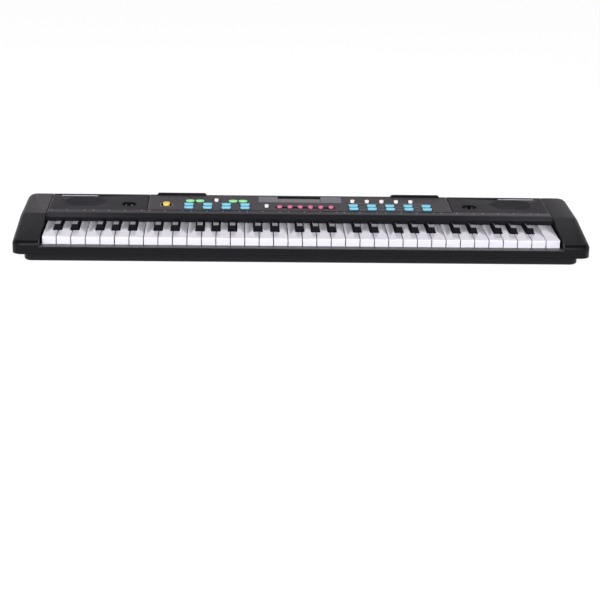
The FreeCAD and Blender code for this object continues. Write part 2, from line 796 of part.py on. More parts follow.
added.append(block("latch_box", (latch_x[0], f"{latch_x[1]} + bay_wall"),
                   (f"{latch_y[0]} - bay_wall", f"{latch_y[1]} + bay_wall"),
                   (floor_top, "pan_floor + latch_deep + bay_wall")))
latch_room = block("latch_room", (latch_x[0], f"{latch_x[1]} - latch_long / 4"), latch_y,
                   ("-overrun", "pan_floor + latch_deep"))
latch_end = prism("latch_end", "XY_Plane", [
    (f"{latch_x[1]} - latch_long / 4", latch_y[0]),
    (latch_x[1], f"{latch_y[0]} + latch_long / 4"),
    (latch_x[1], f"{latch_y[1]} - latch_long / 4"),
    (f"{latch_x[1]} - latch_long / 4", latch_y[1]),
], "-overrun", "pan_floor + latch_deep")
removed += [latch_room, latch_end]
tongue_y = ("bay_y - tongue_long / 2", "bay_y + tongue_long / 2")
tongue_z = (f"{door_top} - tongue_thick / 4", f"{door_top} + tongue_thick")
removed.append(block("tongue_notch", (f"{cell_x[1]} - overrun", f"{latch_x[0]} + overrun"),
                     (f"{tongue_y[0]} - fit_gap", f"{tongue_y[1]} + fit_gap"),
                     ("-overrun", f"{tongue_z[1]} + fit_gap")))
latch_screw_x = f"{door_x[1]} + tongue_reach - tongue_long / 2"
latch_roof = "pan_floor + latch_deep"
removed.append(rod("latch_screw_pilot", latch_screw_x, "bay_y",
                   ("pan_floor", f"{latch_roof} + bay_wall - tongue_thick / 4"),
                   "screw_radius + fit_gap"))
node("bottom_case", cut("bottom_case", join("bottom_solid", [pan_shell] + added), removed))

door = join("door_solid", [
    block("door_plate", door_x, door_y, ("pan_floor", door_top)),
    block("door_tongue", (f"{door_x[1]} - door_ledge", f"{door_x[1]} + tongue_reach"),
          tongue_y, tongue_z),
])
door = cut("door_body", door, [rod("latch_screw_hole", latch_screw_x, "bay_y",
                                   ("pan_floor", f"{tongue_z[1]} + overrun"),
                                   "screw_radius + screw_slack")])
latch_screw = join("latch_screw", [
    rod("latch_screw_head", latch_screw_x, "bay_y",
        (f"{tongue_z[0]} - screw_head_thick", tongue_z[0]), "screw_head_radius"),
    rod("latch_screw_shank", latch_screw_x, "bay_y",
        (f"{tongue_z[0]} - screw_head_thick", f"{latch_roof} + tongue_thick / 2"),
        "screw_radius"),
])
node("battery_door", group("battery_door", [door, latch_screw]))

# Battery contacts: a spring for each cell at one end, a stud at the other
contacts = []
middle_z = f"{door_top} + cell_height / 2"
for number in range(6):
    x = f"({number} - 5 / 2) * cell_pitch - bay_x"
    for end in ("front", "rear"):
        wall, sign = (cell_y[0], "") if end == "front" else (cell_y[1], "-")
        spring = (number % 2 == 0) == (end == "front")
        far = f"{wall} + {sign}contact_thick"
        plate = block(f"contact_plate_{number}_{end}",
                      (f"{x} - contact_wide / 2", f"{x} + contact_wide / 2"),
                      (wall, far) if end == "front" else (far, wall),
                      (f"{middle_z} - contact_tall / 2", f"{middle_z} + contact_tall / 2"))
        reach = "contact_rise * 2" if spring else "contact_rise / 2"
        wide = "contact_cone" if spring else "contact_tip"
        cone = taper(f"contact_cone_{number}_{end}", x, far, ("0", reach), wide,
                     f"contact_tip / 2 + {wide} / 4")
        turn = -90 if end == "front" else 90
        cone.Placement.Rotation = FreeCAD.Rotation(FreeCAD.Vector(1, 0, 0), turn)
        place(cone, x, far, middle_z)
        contacts.append(join(f"contact_{number}_{end}", [plate, cone]))
node("battery_contacts", group("battery_contacts", contacts))

# Key frame: plate with pivot rib, stop ridge and screw lugs
frame_top = "frame_foot + frame_thick"
frame_x = ("-frame_half", "frame_half")
frame_parts = [
    block("frame_plate", frame_x, ("frame_front", "frame_rear"), ("frame_foot", frame_top)),
    block("pivot_rib", frame_x,
          ("pivot_depth - pivot_rib / 2", "pivot_depth + pivot_rib / 2"),
          ("frame_foot", "pivot_height")),
    block("stop_ridge", frame_x, ("stop_front", "stop_front + stop_wide"),
          ("frame_foot", "stop_top")),
]
frame_parts += [block(f"lug_{name}", (f"{x} - lug_half", f"{x} + lug_half"),
                      (f"{y} - lug_half", "frame_front + stop_wide"), ("frame_foot", frame_top))
                for x, y, name in well_places]
lug_holes = [rod(f"lug_hole_{name}", x, y, ("frame_foot - overrun", f"{frame_top} + overrun"),
                 "screw_radius + screw_slack") for x, y, name in well_places]
node("key_frame", cut("key_frame", join("frame_solid", frame_parts), lug_holes))

# Screws: the rim's and the key frame's, each a head and a shank
screws = []
for x, y, name in rim_places:
    seat_z = "shell_foot + screw_head_thick"
    screws.append(join(f"rim_screw_{name}", [
        rod(f"rim_head_{name}", x, y, ("shell_foot", seat_z), "screw_head_radius"),
        rod(f"rim_shank_{name}", x, y, ("shell_foot", f"{seat_z} + screw_long - rim_thick"),
            "screw_radius"),
    ]))
for x, y, name in well_places:
    screws.append(join(f"frame_screw_{name}", [
        rod(f"frame_head_{name}", x, y, ("well_top - screw_head_thick", "well_top"),
            "screw_head_radius"),
        rod(f"frame_shank_{name}", x, y, ("well_top - screw_head_thick", frame_top),
            "screw_radius"),
    ]))
node("case_screws", group("case_screws", screws))

# White keys: one profile, cut back beside the black keys of its octave
white_profile = prism("white_profile", "YZ_Plane", [
    ("key_front", "key_nose_foot"), ("key_front", "key_top - key_bevel"),
    ("key_front + key_bevel", "key_top"), ("key_cap_rear", "key_top"),
    ("key_cap_rear", "arm_top"), ("arm_rear", "arm_top"), ("arm_rear", "arm_foot"),
    ("pivot_depth + pivot_rib / 2 + notch_slack", "arm_foot"),
    ("pivot_depth + pivot_rib / 2 + notch_slack", "pivot_height + fit_gap"),
    ("pivot_depth - pivot_rib / 2 - notch_slack", "pivot_height + fit_gap"),
    ("pivot_depth - pivot_rib / 2 - notch_slack", "arm_foot"),
    ("arm_front", "arm_foot"), ("arm_front", "key_skirt"),
    ("key_front + key_wall", "key_skirt"), ("key_front + key_wall", "key_nose_foot"),
], "key_gap / 2", "key_pitch - key_gap / 2")
hollow_front = block("key_hollow", ("key_gap / 2 + key_wall", "key_pitch - key_gap / 2 - key_wall"),
                     ("key_front + key_wall", "black_front - column_gap - key_wall"),
                     ("key_skirt - overrun", "key_top - key_plate"))


def black_middle(note):
    """The middle of the black key after a note, from that octave's first key."""
    index = NOTES.index(note)
    return f"({index + 1 + BLACK_SHARES[note]}) * key_pitch"


def white_arm(note, last=False):
    """The narrow part of a white key, from that key's own left side."""
    index = NOTES.index(note)
    before = NOTES[index - 1]
    half = "black_wide / 2 + column_gap"
    low, high = "key_gap / 2", "key_pitch - key_gap / 2"
    if index and before in BLACK_AFTER:
        low = f"{black_middle(before)} + {half} - {index} * key_pitch"
    if note in BLACK_AFTER and not last:
        high = f"{black_middle(note)} - ({half}) - {index} * key_pitch"
    return low, high


column_y = ("black_front - column_gap", "arm_rear + overrun")
column_z = ("arm_foot - overrun", "key_top + overrun")
columns = {}
for note in NOTES + ("top",):
    low, high = white_arm("c", last=True) if note == "top" else white_arm(note)
    tools = [hollow_front]
    if low != "key_gap / 2":
        tools.append(block(f"column_left_{note}", ("-overrun", low), column_y, column_z))
    if high != "key_pitch - key_gap / 2":
        tools.append(block(f"column_right_{note}", (high, "key_pitch + overrun"), column_y, column_z))
    columns[note] = tools

first_key = f"-({len(NOTES) * OCTAVES} + 1) * key_pitch / 2"
arm_middles = []
for octave in range(OCTAVES + 1):
    for index, note in enumerate(NOTES if octave < OCTAVES else NOTES[:1]):
        last = octave == OCTAVES
        name = f"white_key_{note}{octave + FIRST_OCTAVE}"
        left = f"{first_key} + {octave * len(NOTES) + index} * key_pitch"
        node(name, cut(name, white_profile, columns["top" if last else note]), left)
        low, high = white_arm(note, last)
        arm_middles.append((name, f"{left} + (({low}) + ({high})) / 2"))

# Black keys: five to a comb, joined by the spine above the white keys' arms
black_profile = prism("black_profile", "YZ_Plane", [
    ("black_front", "black_foot"), ("black_front", "key_top"),
    ("black_front + black_slope", "black_height"),
    ("black_front + black_slope + black_flat", "black_height"),
    ("black_rear", "black_rear_height"), ("black_rear", "black_arm_top"),
    ("arm_rear", "black_arm_top"), ("arm_rear", "arm_foot"),
    ("pivot_depth + pivot_rib / 2 + notch_slack", "arm_foot"),
    ("pivot_depth + pivot_rib / 2 + notch_slack", "pivot_height + fit_gap"),
    ("pivot_depth - pivot_rib / 2 - notch_slack", "pivot_height + fit_gap"),
    ("pivot_depth - pivot_rib / 2 - notch_slack", "arm_foot"),
    ("arm_front", "arm_foot"), ("arm_front", "black_foot"),
], "-black_wide / 2", "black_wide / 2")
flares = []
for sign, side in (("-", "l"), ("", "r")):
    flares.append(prism(f"black_flare_{side}", "XZ_Plane", [
        (f"{sign}black_wide / 2", "key_top"), (f"{sign}black_top_wide / 2", "black_height"),
        (f"{sign}black_wide", "black_height"),
    ], "black_front - overrun", "black_rear + overrun"))
octave_keys = []
for note in BLACK_AFTER:
    key = cut(f"black_{note}_sharp", black_profile, flares)
    octave_keys.append(place(key, black_middle(note)))
spine = block("comb_spine",
              (f"{black_middle(BLACK_AFTER[0])} - black_wide / 2",
               f"{black_middle(BLACK_AFTER[-1])} + black_wide / 2"),
              ("spine_front", "arm_rear"), ("spine_foot", "black_arm_top"))
for octave in range(OCTAVES):
    name = f"black_keys_{octave + FIRST_OCTAVE}"
    left = f"{first_key} + {octave * len(NOTES)} * key_pitch"
    node(name, join(name, octave_keys + [spine]), left)
    arm_middles += [(f"{name}_{note}", f"{left} + {black_middle(note)}") for note in BLACK_AFTER]

# Contact board and rubber domes under the keys' arms
strip_foot_z = f"{frame_top} + board_thick"
dome_foot = f"{strip_foot_z} + dome_strip_thick"
dome_middle = "dome_strip_front + dome_strip_wide / 2"
domes = [block("dome_strip", frame_x,
               ("dome_strip_front", "dome_strip_front + dome_strip_wide"),
               (strip_foot_z, dome_foot))]
domes += [block(f"dome_{name}", (f"{middle} - dome_wide / 2", f"{middle} + dome_wide / 2"),
                (f"{dome_middle} - dome_long / 2", f"{dome_middle} + dome_long / 2"),
                (strip_foot_z, f"{dome_foot} + dome_tall"))
          for name, middle in arm_middles]
node("rubber_contacts", join("rubber_contacts", domes))

panel_foot = "deck_height - shell_wall"
main_top = "main_board_foot + board_thick"
sockets = []
for name in ("phones", "power"):
    x = f"-{name}_place"
    near = f"case_depth - shell_wall - fit_gap - {name}_deep"
    far = "case_depth - shell_wall - fit_gap"
    half = f"{name}_body / 2"
    shell = join(f"{name}_shell", [
        block(f"{name}_body_box", (f"{x} - {half}", f"{x} + {half}"), (near, far),
              (f"socket_height - {half}", f"socket_height + {half}")),
        rear_rod(f"{name}_nose", x, (near, "case_depth + strip_raise - fit_gap"), "socket_height",
                 f"{name}_radius + port_wall"),
    ])
    sockets.append(cut(f"{name}_socket", shell, [
        rear_rod(f"{name}_bore", x, (f"{near} + port_wall", "case_depth + overrun"),
                 "socket_height", f"{name}_radius")]))
socket_card = block("socket_card", ("-power_place - power_body", "power_body - phones_place"),
                    ("case_depth - shell_wall - fit_gap - phones_deep - board_thick",
                     "case_depth - shell_wall - fit_gap - phones_deep"),
                    ("socket_height - power_body", "socket_height + power_body / 2"))
boards = [
    block("key_board", frame_x, ("key_board_front", "key_board_rear"),
          (frame_top, strip_foot_z)),
    block("main_board", ("-main_board_half", "main_board_half"),
          ("main_board_front", "main_board_rear"), ("main_board_foot", main_top)),
    block("display_module", ("-window_left", "window_right"),
          ("display_front + window_border", "display_rear - window_border"),
          (main_top, panel_foot)),
] + sockets
node("circuit_boards", group("circuit_boards", boards))

# Speaker panels: grille slots, a port and a slot for the trim bar on each
panels = []
trims = []
speakers = []
for x_sign, side in (("-", "left"), ("", "right")):
    low, high = panel_spans[side]
    middle = f"{x_sign}speaker_x"
    port = f"{x_sign}port_x"
    bar = f"{x_sign}bar_x"
    plate = block(f"speaker_plate_{side}", (f"{low} + fit_gap / 2", f"{high} - fit_gap / 2"),
                  ("panel_front + fit_gap / 2", "panel_rear - fit_gap / 2"),
                  (panel_foot, "deck_height"))
    rows = int(value("grille_radius / grille_pitch"))
    grille = [block(f"grille_{side}_{row + rows}",
                    (f"{middle} - sqrt(grille_radius ^ 2 - ({row} * grille_pitch) ^ 2)",
                     f"{middle} + sqrt(grille_radius ^ 2 - ({row} * grille_pitch) ^ 2)"),
                    (f"speaker_depth + {row} * grille_pitch - grille_slot / 2",
                     f"speaker_depth + {row} * grille_pitch + grille_slot / 2"),
                    (f"{panel_foot} - overrun", "deck_height + overrun"))
              for row in range(1 - rows, rows)]
    bar_points = [(f"{bar} - bar_long / 2", "bar_depth - bar_wide / 2"),
                  (f"{bar} + bar_long / 2 - bar_slant", "bar_depth - bar_wide / 2"),
                  (f"{bar} + bar_long / 2", "bar_depth + bar_wide / 2"),
                  (f"{bar} - bar_long / 2 + bar_slant", "bar_depth + bar_wide / 2")]
    if side == "left":
        bar_points = [(f"{bar} - bar_long / 2 + bar_slant", "bar_depth - bar_wide / 2"),
                      (f"{bar} + bar_long / 2", "bar_depth - bar_wide / 2"),
                      (f"{bar} + bar_long / 2 - bar_slant", "bar_depth + bar_wide / 2"),
                      (f"{bar} - bar_long / 2", "bar_depth + bar_wide / 2")]
    bar_foot = "deck_height - bar_sink"
    bar_slot = prism(f"bar_slot_{side}", "XY_Plane", bar_points, bar_foot, "deck_height + overrun")
    port_hole = rod(f"port_hole_{side}", port, "port_depth",
                    (f"{panel_foot} - overrun", "deck_height + overrun"), "port_radius + fit_gap")
    panels.append(cut(f"speaker_panel_{side}", plate, grille + [bar_slot, port_hole, seams]))
    trims.append(prism(f"trim_bar_{side}", "XY_Plane", bar_points, bar_foot,
                       "deck_height + bar_rise"))
    cup = join(f"port_solid_{side}", [
        rod(f"port_tube_{side}", port, "port_depth", ("port_floor", "deck_height"), "port_radius"),
        rod(f"port_flange_{side}", port, "port_depth",
            ("deck_height", "deck_height + port_ring_rise"), "port_ring"),
    ])
    bore = rod(f"port_bore_{side}", port, "port_depth",
               ("port_floor + port_wall", "deck_height + overrun"), "port_radius - port_wall")
    pins = [rod(f"port_pin_{side}_{number}", f"{port} + {number} * port_pin_half", "port_depth",
                ("port_floor", "port_floor + port_wall + port_pin_rise"), "port_pin")
            for number in (-1, 1)]
    trims.append(join(f"port_{side}", [cut(f"port_cup_{side}", cup, [bore])] + pins))
    flange_foot = f"{panel_foot} - speaker_flange"
    basket = join(f"basket_{side}", [
        rod(f"magnet_{side}", middle, "speaker_depth", ("magnet_foot", "magnet_top"),
            "magnet_radius"),
        taper(f"frame_cone_{side}", middle, "speaker_depth", ("magnet_top", flange_foot),
              "magnet_radius", "speaker_neck"),
        rod(f"speaker_flange_{side}", middle, "speaker_depth", (flange_foot, panel_foot),
            "speaker_radius"),
    ])
    diaphragm = taper(f"diaphragm_{side}", middle, "speaker_depth",
                      ("magnet_top + cone_wall", panel_foot),
                      "magnet_radius - cone_wall", "speaker_neck - cone_wall")
    speakers.append(cut(f"loudspeaker_{side}", basket, [diaphragm]))
node("speaker_panels", group("speaker_panels", panels))
node("panel_trim", group("panel_trim", trims))
node("loudspeakers", group("loudspeakers", speakers))


def pill(name, x, y, wide, long, z):
    """A bar with round ends, along X where it is wider than it is long."""
    across = value(wide) > value(long)
    thin, reach = (long, wide) if across else (wide, long)
    half = f"(({reach}) - ({thin})) / 2"
    half_x, half_y = (half, f"({thin}) / 2") if across else (f"({thin}) / 2", half)
    bar = block(f"{name}_bar", (f"{x} - {half_x}", f"{x} + {half_x}"),
                (f"{y} - {half_y}", f"{y} + {half_y}"), z)
    shift_x, shift_y = (half, "0") if across else ("0", half)
    return join(name, [bar] + [
        rod(f"{name}_{end}", f"{x} {sign} {shift_x}", f"{y} {sign} {shift_y}", z, f"({thin}) / 2")
        for sign, end in (("-", "a"), ("+", "b"))])


def lens(name, x, y, wide, long, z):
    """A six-sided leaf with pointed ends."""
    return prism(name, "XY_Plane", [
        (f"{x} - ({wide}) / 2", y), (f"{x} - ({wide}) / 4", f"{y} - ({long}) / 2"),
        (f"{x} + ({wide}) / 4", f"{y} - ({long}) / 2"), (f"{x} + ({wide}) / 2", y),
        (f"{x} + ({wide}) / 4", f"{y} + ({long}) / 2"),
        (f"{x} - ({wide}) / 4", f"{y} + ({long}) / 2"),
    ], z[0], z[1])


def disc(name, x, y, wide, long, z):
    return rod(name, x, y, z, f"({wide}) / 2")


# Buttons: shape, places and size of each group that shares a colour
pill_rows = ("row_upper", "row_lower")
button_groups = {
    "power_button": (pill, "power_button_wide", "power_button_long", "power_button_rise",
                     [("-power_button_x", "power_button_depth")]),
    "green_buttons": (lens, "green_wide", "green_long", "green_rise",
                      [(f"{pair} * green_group + {side} * green_pair - green_first", "row_green")
                       for pair in (0, 1) for side in (0, 1)]),
    "blue_buttons_left": (pill, "pill_wide", "pill_long", "pill_rise",
                          [(f"{number} * left_pill_pitch - left_pill_first", row)
                           for row in pill_rows for number in range(4)]),
    "blue_buttons_right": (pill, "pill_wide", "pill_long", "pill_rise",
                           [(f"{number} * right_pill_pitch + right_pill_first", row)
                            for row in pill_rows for number in range(5)]),
    "white_buttons": (disc, "2 * dot_radius", "2 * dot_radius", "dot_rise",
                      [("-lone_dot_x", "row_white"), ("-select_dot_x", "row_select")]
                      + [(f"{number} * right_dot_pitch + right_dot_first", "row_white")
                         for number in range(5)]),
    "pink_buttons": (disc, "2 * pink_radius", "2 * pink_radius", "pink_rise",
                     [(f"{number} * pink_pitch - pink_first", "row_pink")
                      for number in range(6)]),
}
button_holes = []
for group_name, (shape, wide, long, rise, places) in button_groups.items():
    caps = []
    # The slanted sides of a leaf need more room along X for the same gap
    side_gap = "3 * button_gap" if shape is lens else "2 * button_gap"
    for number, (x, y) in enumerate(places):
        name = f"{group_name}_{number}"
        flange_z = ("button_flange_foot", "button_flange_foot + button_flange_thick")
        caps.append(join(name, [
            shape(f"{name}_cap", x, y, wide, long, ("button_flange_foot", f"deck_height + {rise}")),
            shape(f"{name}_flange", x, y, f"{wide} + 2 * button_flange",
                  f"{long} + 2 * button_flange", flange_z),
        ]))
        button_holes.append(shape(f"{name}_hole", x, y, f"{wide} + {side_gap}",
                                  f"{long} + 2 * button_gap",
                                  (f"{panel_foot} - overrun", "deck_height + overrun")))
    node(group_name, caps[0] if len(caps) == 1 else group(group_name, caps))

# Control panel: plate with button holes, display recess and shallow wells
low, high = panel_spans["middle"]
panel_plate = block("control_plate", (f"{low} + fit_gap / 2", f"{high} - fit_gap / 2"),
                    ("panel_front + fit_gap / 2", "panel_rear - fit_gap / 2"),
                    (panel_foot, "deck_height"))
pegs = [rod(f"board_peg_{side}", x, "board_peg_depth", (main_top, panel_foot), "peg_radius")
        for x, side in sides("board_peg_x")]
recess_z = ("deck_height - display_sink", "deck_height + overrun")
panel_cuts = [
    block("display_recess", ("-display_left", "display_right"),
          ("display_front", "display_rear"), recess_z),
    block("display_opening", ("window_border - window_left", "window_right - window_border"),
          ("display_front + window_border", "display_rear - window_border"),
          (f"{panel_foot} - overrun", "deck_height")),
    pill("power_well", "-power_button_x", "power_button_depth", "power_ring_wide",
         "power_ring_long", ("deck_height - power_ring_sink", "deck_height + overrun")),
    pill("pink_slot", "5 / 2 * pink_pitch - pink_first", "row_pink",
         "5 * pink_pitch + 2 * pink_slot_margin", "pink_slot_wide",
         ("deck_height - pink_slot_sink", "deck_height + overrun")),
    seams,
]
panel_body = join("control_body", [panel_plate] + pegs)
node("control_panel", cut("control_panel", panel_body, button_holes + panel_cuts))

# Display: a sunk window between two raised plates
lens_foot = "deck_height - display_sink"
plate_y = ("display_front + fit_gap", "display_rear - fit_gap")
plate_z = (lens_foot, "deck_height + plate_rise")
node("display_window", group("display_window", [
    block("window_lens", ("-window_left", "window_right"), plate_y,
          (lens_foot, f"{lens_foot} + lens_thick")),
    block("plate_left", ("fit_gap - display_left", "-window_left"), plate_y, plate_z),
    block("plate_right", ("window_right", "display_right - fit_gap"), plate_y, plate_z),
]))

doc.recompute()
faults = [thing.Name for thing in doc.Objects
          if "Invalid" in thing.State or "Error" in thing.State]
if faults:
    raise RuntimeError(f"These objects failed: {faults}")
labels = [thing.Label for thing in nodes]
if len(set(labels)) != len(labels):
    raise RuntimeError("Two pieces share a name.")
for thing in nodes:
    if thing.Shape.isNull() or not thing.Shape.isValid() or not thing.Shape.Solids:
        raise RuntimeError(f"{thing.Label} has no sound solid.")

os.makedirs("parts", exist_ok=True)
for thing in nodes:
    thing.Shape.exportStep(os.path.join("parts", f"{thing.Label}.step"))
    print(thing.Label, len(thing.Shape.Solids), "solids", round(thing.Shape.Volume), "mm3")
print(len(nodes), "pieces written")
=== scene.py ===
"""An electronic keyboard with 61 keys, dressed over its CAD frame and set on a plain studio floor.

Moulded parts are softened copies of the CAD solids. Geometry Nodes make the relief under the pan,
the slots of the screws, the black rims of painted shade round the buttons, and the dashes of print
and of painted shade. All finishes are procedural. Lengths are in millimetres, except where MM
turns them into Blender's metres.
"""

import json
from math import cos, pi, radians, sin

import bmesh
import bpy
from bpy.props import FloatProperty, FloatVectorProperty, PointerProperty
from bpy.types import Operator, Panel, PropertyGroup
from mathutils import Matrix, Vector

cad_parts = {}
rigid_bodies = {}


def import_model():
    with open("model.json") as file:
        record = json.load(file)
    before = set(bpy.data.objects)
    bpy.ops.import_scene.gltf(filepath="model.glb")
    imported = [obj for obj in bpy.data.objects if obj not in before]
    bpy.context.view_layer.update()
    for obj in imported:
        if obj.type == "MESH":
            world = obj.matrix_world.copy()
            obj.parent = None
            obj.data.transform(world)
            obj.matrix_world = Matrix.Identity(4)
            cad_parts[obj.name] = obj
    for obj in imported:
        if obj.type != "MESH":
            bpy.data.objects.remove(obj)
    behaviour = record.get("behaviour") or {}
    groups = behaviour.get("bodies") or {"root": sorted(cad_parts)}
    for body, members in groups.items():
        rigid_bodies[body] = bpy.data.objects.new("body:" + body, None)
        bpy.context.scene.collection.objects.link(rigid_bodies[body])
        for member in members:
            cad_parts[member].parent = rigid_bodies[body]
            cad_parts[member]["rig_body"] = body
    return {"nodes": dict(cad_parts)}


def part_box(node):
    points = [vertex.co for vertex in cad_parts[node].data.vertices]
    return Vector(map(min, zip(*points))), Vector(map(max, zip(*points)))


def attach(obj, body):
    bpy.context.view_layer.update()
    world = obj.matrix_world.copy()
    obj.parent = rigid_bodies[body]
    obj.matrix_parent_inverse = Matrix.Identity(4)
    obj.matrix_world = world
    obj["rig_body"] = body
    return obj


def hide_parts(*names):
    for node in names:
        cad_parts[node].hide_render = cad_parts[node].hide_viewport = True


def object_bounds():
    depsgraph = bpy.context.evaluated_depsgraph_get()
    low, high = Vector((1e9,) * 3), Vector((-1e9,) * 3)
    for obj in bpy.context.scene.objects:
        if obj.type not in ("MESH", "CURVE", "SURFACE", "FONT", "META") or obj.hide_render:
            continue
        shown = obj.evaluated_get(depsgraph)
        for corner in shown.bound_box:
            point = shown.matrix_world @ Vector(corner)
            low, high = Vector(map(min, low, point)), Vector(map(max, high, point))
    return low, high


bl_info = {
    "name": "Electronic Keyboard",
    "version": (1, 0, 0),
    "blender": (4, 5, 0),
    "location": "3D View > Sidebar > Keyboard",
    "description": "Dresses the packed frame of a 61-key electronic keyboard",
    "category": "Object",
}

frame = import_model()
CAD_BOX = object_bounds()
MM = 0.001

# Height of the deck, the top of the upper case's panels: in metres, and in millimetres
DECK_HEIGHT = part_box("control_panel")[1].z
DECK = DECK_HEIGHT / MM
# The white keys' pitch and left end, and half the width of the bay that they lie in
KEY_PITCH, KEYS_LEFT, BAY_HALF = 19.05, -342.9, 345.0
# The deck's front edge, the rear edge of its bare strip, and the case's rear edge
CREASE_Y, STRIP_REAR, REAR_Y = -0.5, 18.5, 99.2
# Areas of the upper case with painted sheen and highlight: from and to which y, and above which z
FALLBOARD, STRIP, LEDGE = (-5.6, 3.0, 36.9), (3.0, 11.5, 40.9), (-99.6, -78.0, 20.5)
# Painted highlights along both edges of the parting groove: from and to which z
GROOVE_EDGE_HIGHLIGHTS = ((13.3, 14.3), (15.5, 16.3))
# The groove between the two halves of the case: its foot, its top and its depth
PARTING = (14.45, 15.25, 0.7)
# The pan: the heights of its floor and of its rim's foot, and how far its walls stand in
PAN_FLOOR, PAN_RIM, PAN_SIDE, PAN_FRONT = 0.5, 13.5, 11.2, 9.2
# The display: its window's sides, the warm tint's start, middle and end,
# and where the painted shade at its rear starts
LENS_SIDES, LENS_TINT, LENS_SHADE = (-29.8, 30.3), (63, 66, 70), (82.5, 84.5)
# Black block of painted shade along the rear edge of the display: its front and rear, foot and top
DISPLAY_SHADE = (90.1, 91.0, 40.0, 41.15)
# The ports: their middle and the radius beyond which their flange has a painted highlight
PORT_MIDDLE, PORT_HIGHLIGHT_RADIUS = (236.0, 45.8), 10.7
# The pins of a port: distance from its middle, radius, foot and tip
PORT_PIN = (4.0, 0.9, 34.0, 40.7)
# Screws: the rounding of the head, and the slot's half length, foot and top over the head's face
SCREW_EDGE, SLOT = 0.3, (1.7, -0.2, 0.9)
# Keys are worn before the first y and as new behind the second
KEY_WEAR = (-70, -50)
# The black sockets of the jack card: from and to which x, and behind which y
SOCKETS = (-112, -50, 77)
# Areas of the underside without relief: x, y, x, y and the corner's radius
PLAIN_AREAS = (
    (-230, -72, -99, -4.5, 2), (-61, -75, 61, -45.5, 4), (-343, 36.5, 343, 58.5, 2),
    *((x - 8, y - 8, x + 8, y + 8, 8) for x in (-329, 329) for y in (-68.8, 68.2)),
    *((x - 6, -15.3, x + 6, -3.3, 6) for x in (-237, -79.5, 79.5, 237)),
    *((x - 3.2, -3.5, x + 3.2, 2.9, 3.2) for x in (-264.5, 264.5)),
)


# Sizes and colours that a user may change

def number(name, description, default, **kind):
    return FloatProperty(name=name, description=description, default=default, **kind)


def length(name, description, default):
    return number(name, description, default * MM, unit="LENGTH", precision=5)


def colour(name, description, default):
    return FloatVectorProperty(name=name, description=description, default=default, size=3,
                               subtype="COLOR", min=0, max=1)


class KeyboardSizes(PropertyGroup):
    """Sizes of what the scene adds to the CAD solids."""

    case_edge: length("Case edge", "Rounding of the case's moulded edges", 0.4)
    panel_edge: length("Panel edge", "Rounding of the control panel's edges", 0.5)
    white_edge: length("White key edge", "Rounding of the white keys' edges", 0.55)
    black_edge: length("Black key edge", "Rounding of the black keys' edges", 0.5)
    pad_edge: length("Pad edge", "Rounding of the flat buttons' tops", 0.7)
    knob_edge: length("Knob edge", "Rounding of the round buttons' tops", 1.5)
    trim_edge: length("Trim edge", "Rounding of bars and port rings", 0.2)
    relief_cell: length("Relief cell", "Width of one block of the relief", 11.9)
    relief_row: length("Relief row", "Distance from one row of blocks to the next", 8.7)
    relief_deep: length("Relief depth", "Depth of the relief's lowest corners", 0.9)
    ink_thick: length("Ink thickness", "Thickness of the ink of marks and lines", 0.04)
    # Width of the painted shade round each button
    surround: length("Surround", "Width of the black surround of a button", 1.5)
    line: length("Line", "Width of the lines on the panels", 0.9)
    screw_slot: length("Screw slot", "Width of the cross slot in a screw head", 0.9)


class KeyboardColours(PropertyGroup):
    """Colours of the finishes."""

    case: colour("Case", "Black plastic of the case", (0.0050, 0.0046, 0.0066))
    # Painted sheen and highlight on the upper case
    wear_and_painted_sheen: colour("Worn case", "Dusty and rubbed plastic of the case", (0.066, 0.064, 0.071))
    pan: colour("Pan", "Black plastic of the lower case", (0.0075, 0.0072, 0.0095))
    panel: colour("Panel", "Dark grey plastic of the control panel", (0.092, 0.085, 0.092))
    speaker_panel: colour("Speaker panel", "Dark plastic over the speakers", (0.014, 0.0135, 0.017))
    # Black used for painted shade round buttons and in gaps, seats and slots
    surround: colour("Surround", "Black surrounds of the buttons", (0.004, 0.004, 0.005))
    white_key: colour("White key", "Plastic of the white keys", (0.92, 0.91, 0.985))
    black_key: colour("Black key", "Plastic of the black keys", (0.0030, 0.0030, 0.0042))
    yellow: colour("Yellow button", "Plastic of the yellow button", (1.0, 0.74, 0.12))
    green: colour("Green buttons", "Plastic of the green buttons", (0.35, 0.90, 0.42))
    blue: colour("Blue buttons", "Plastic of the blue buttons", (0.24, 0.72, 0.94))
    white: colour("White buttons", "Plastic of the white buttons", (1.0, 0.99, 1.0))
    pink: colour("Pink buttons", "Plastic of the pink buttons", (0.97, 0.19, 0.38))
    port: colour("Port", "Black plastic of the round ports", (0.008, 0.008, 0.009))
    silver: colour("Silver", "Bars on the speaker panels", (0.50, 0.49, 0.54))
    plate: colour("Plate", "Grey plates beside the window", (0.17, 0.17, 0.19))
    window: colour("Window", "Window of the display", (0.185, 0.165, 0.180))
    # Also the base of the painted highlight lines on the grooves
    mark: colour("Mark", "Ink of the marks", (0.42, 0.42, 0.42))
    board: colour("Board", "Solder mask of the circuit boards", (0.02, 0.16, 0.06))
    steel: colour("Steel", "Pins and contacts", (0.52, 0.51, 0.49))
    screw: colour("Screw", "Blackened screws", (0.09, 0.085, 0.08))
    rubber: colour("Rubber", "Contact strip under the keys", (0.10, 0.10, 0.11))
    backdrop: colour("Backdrop", "Floor and wall of the studio", (1.0, 1.0, 1.0))


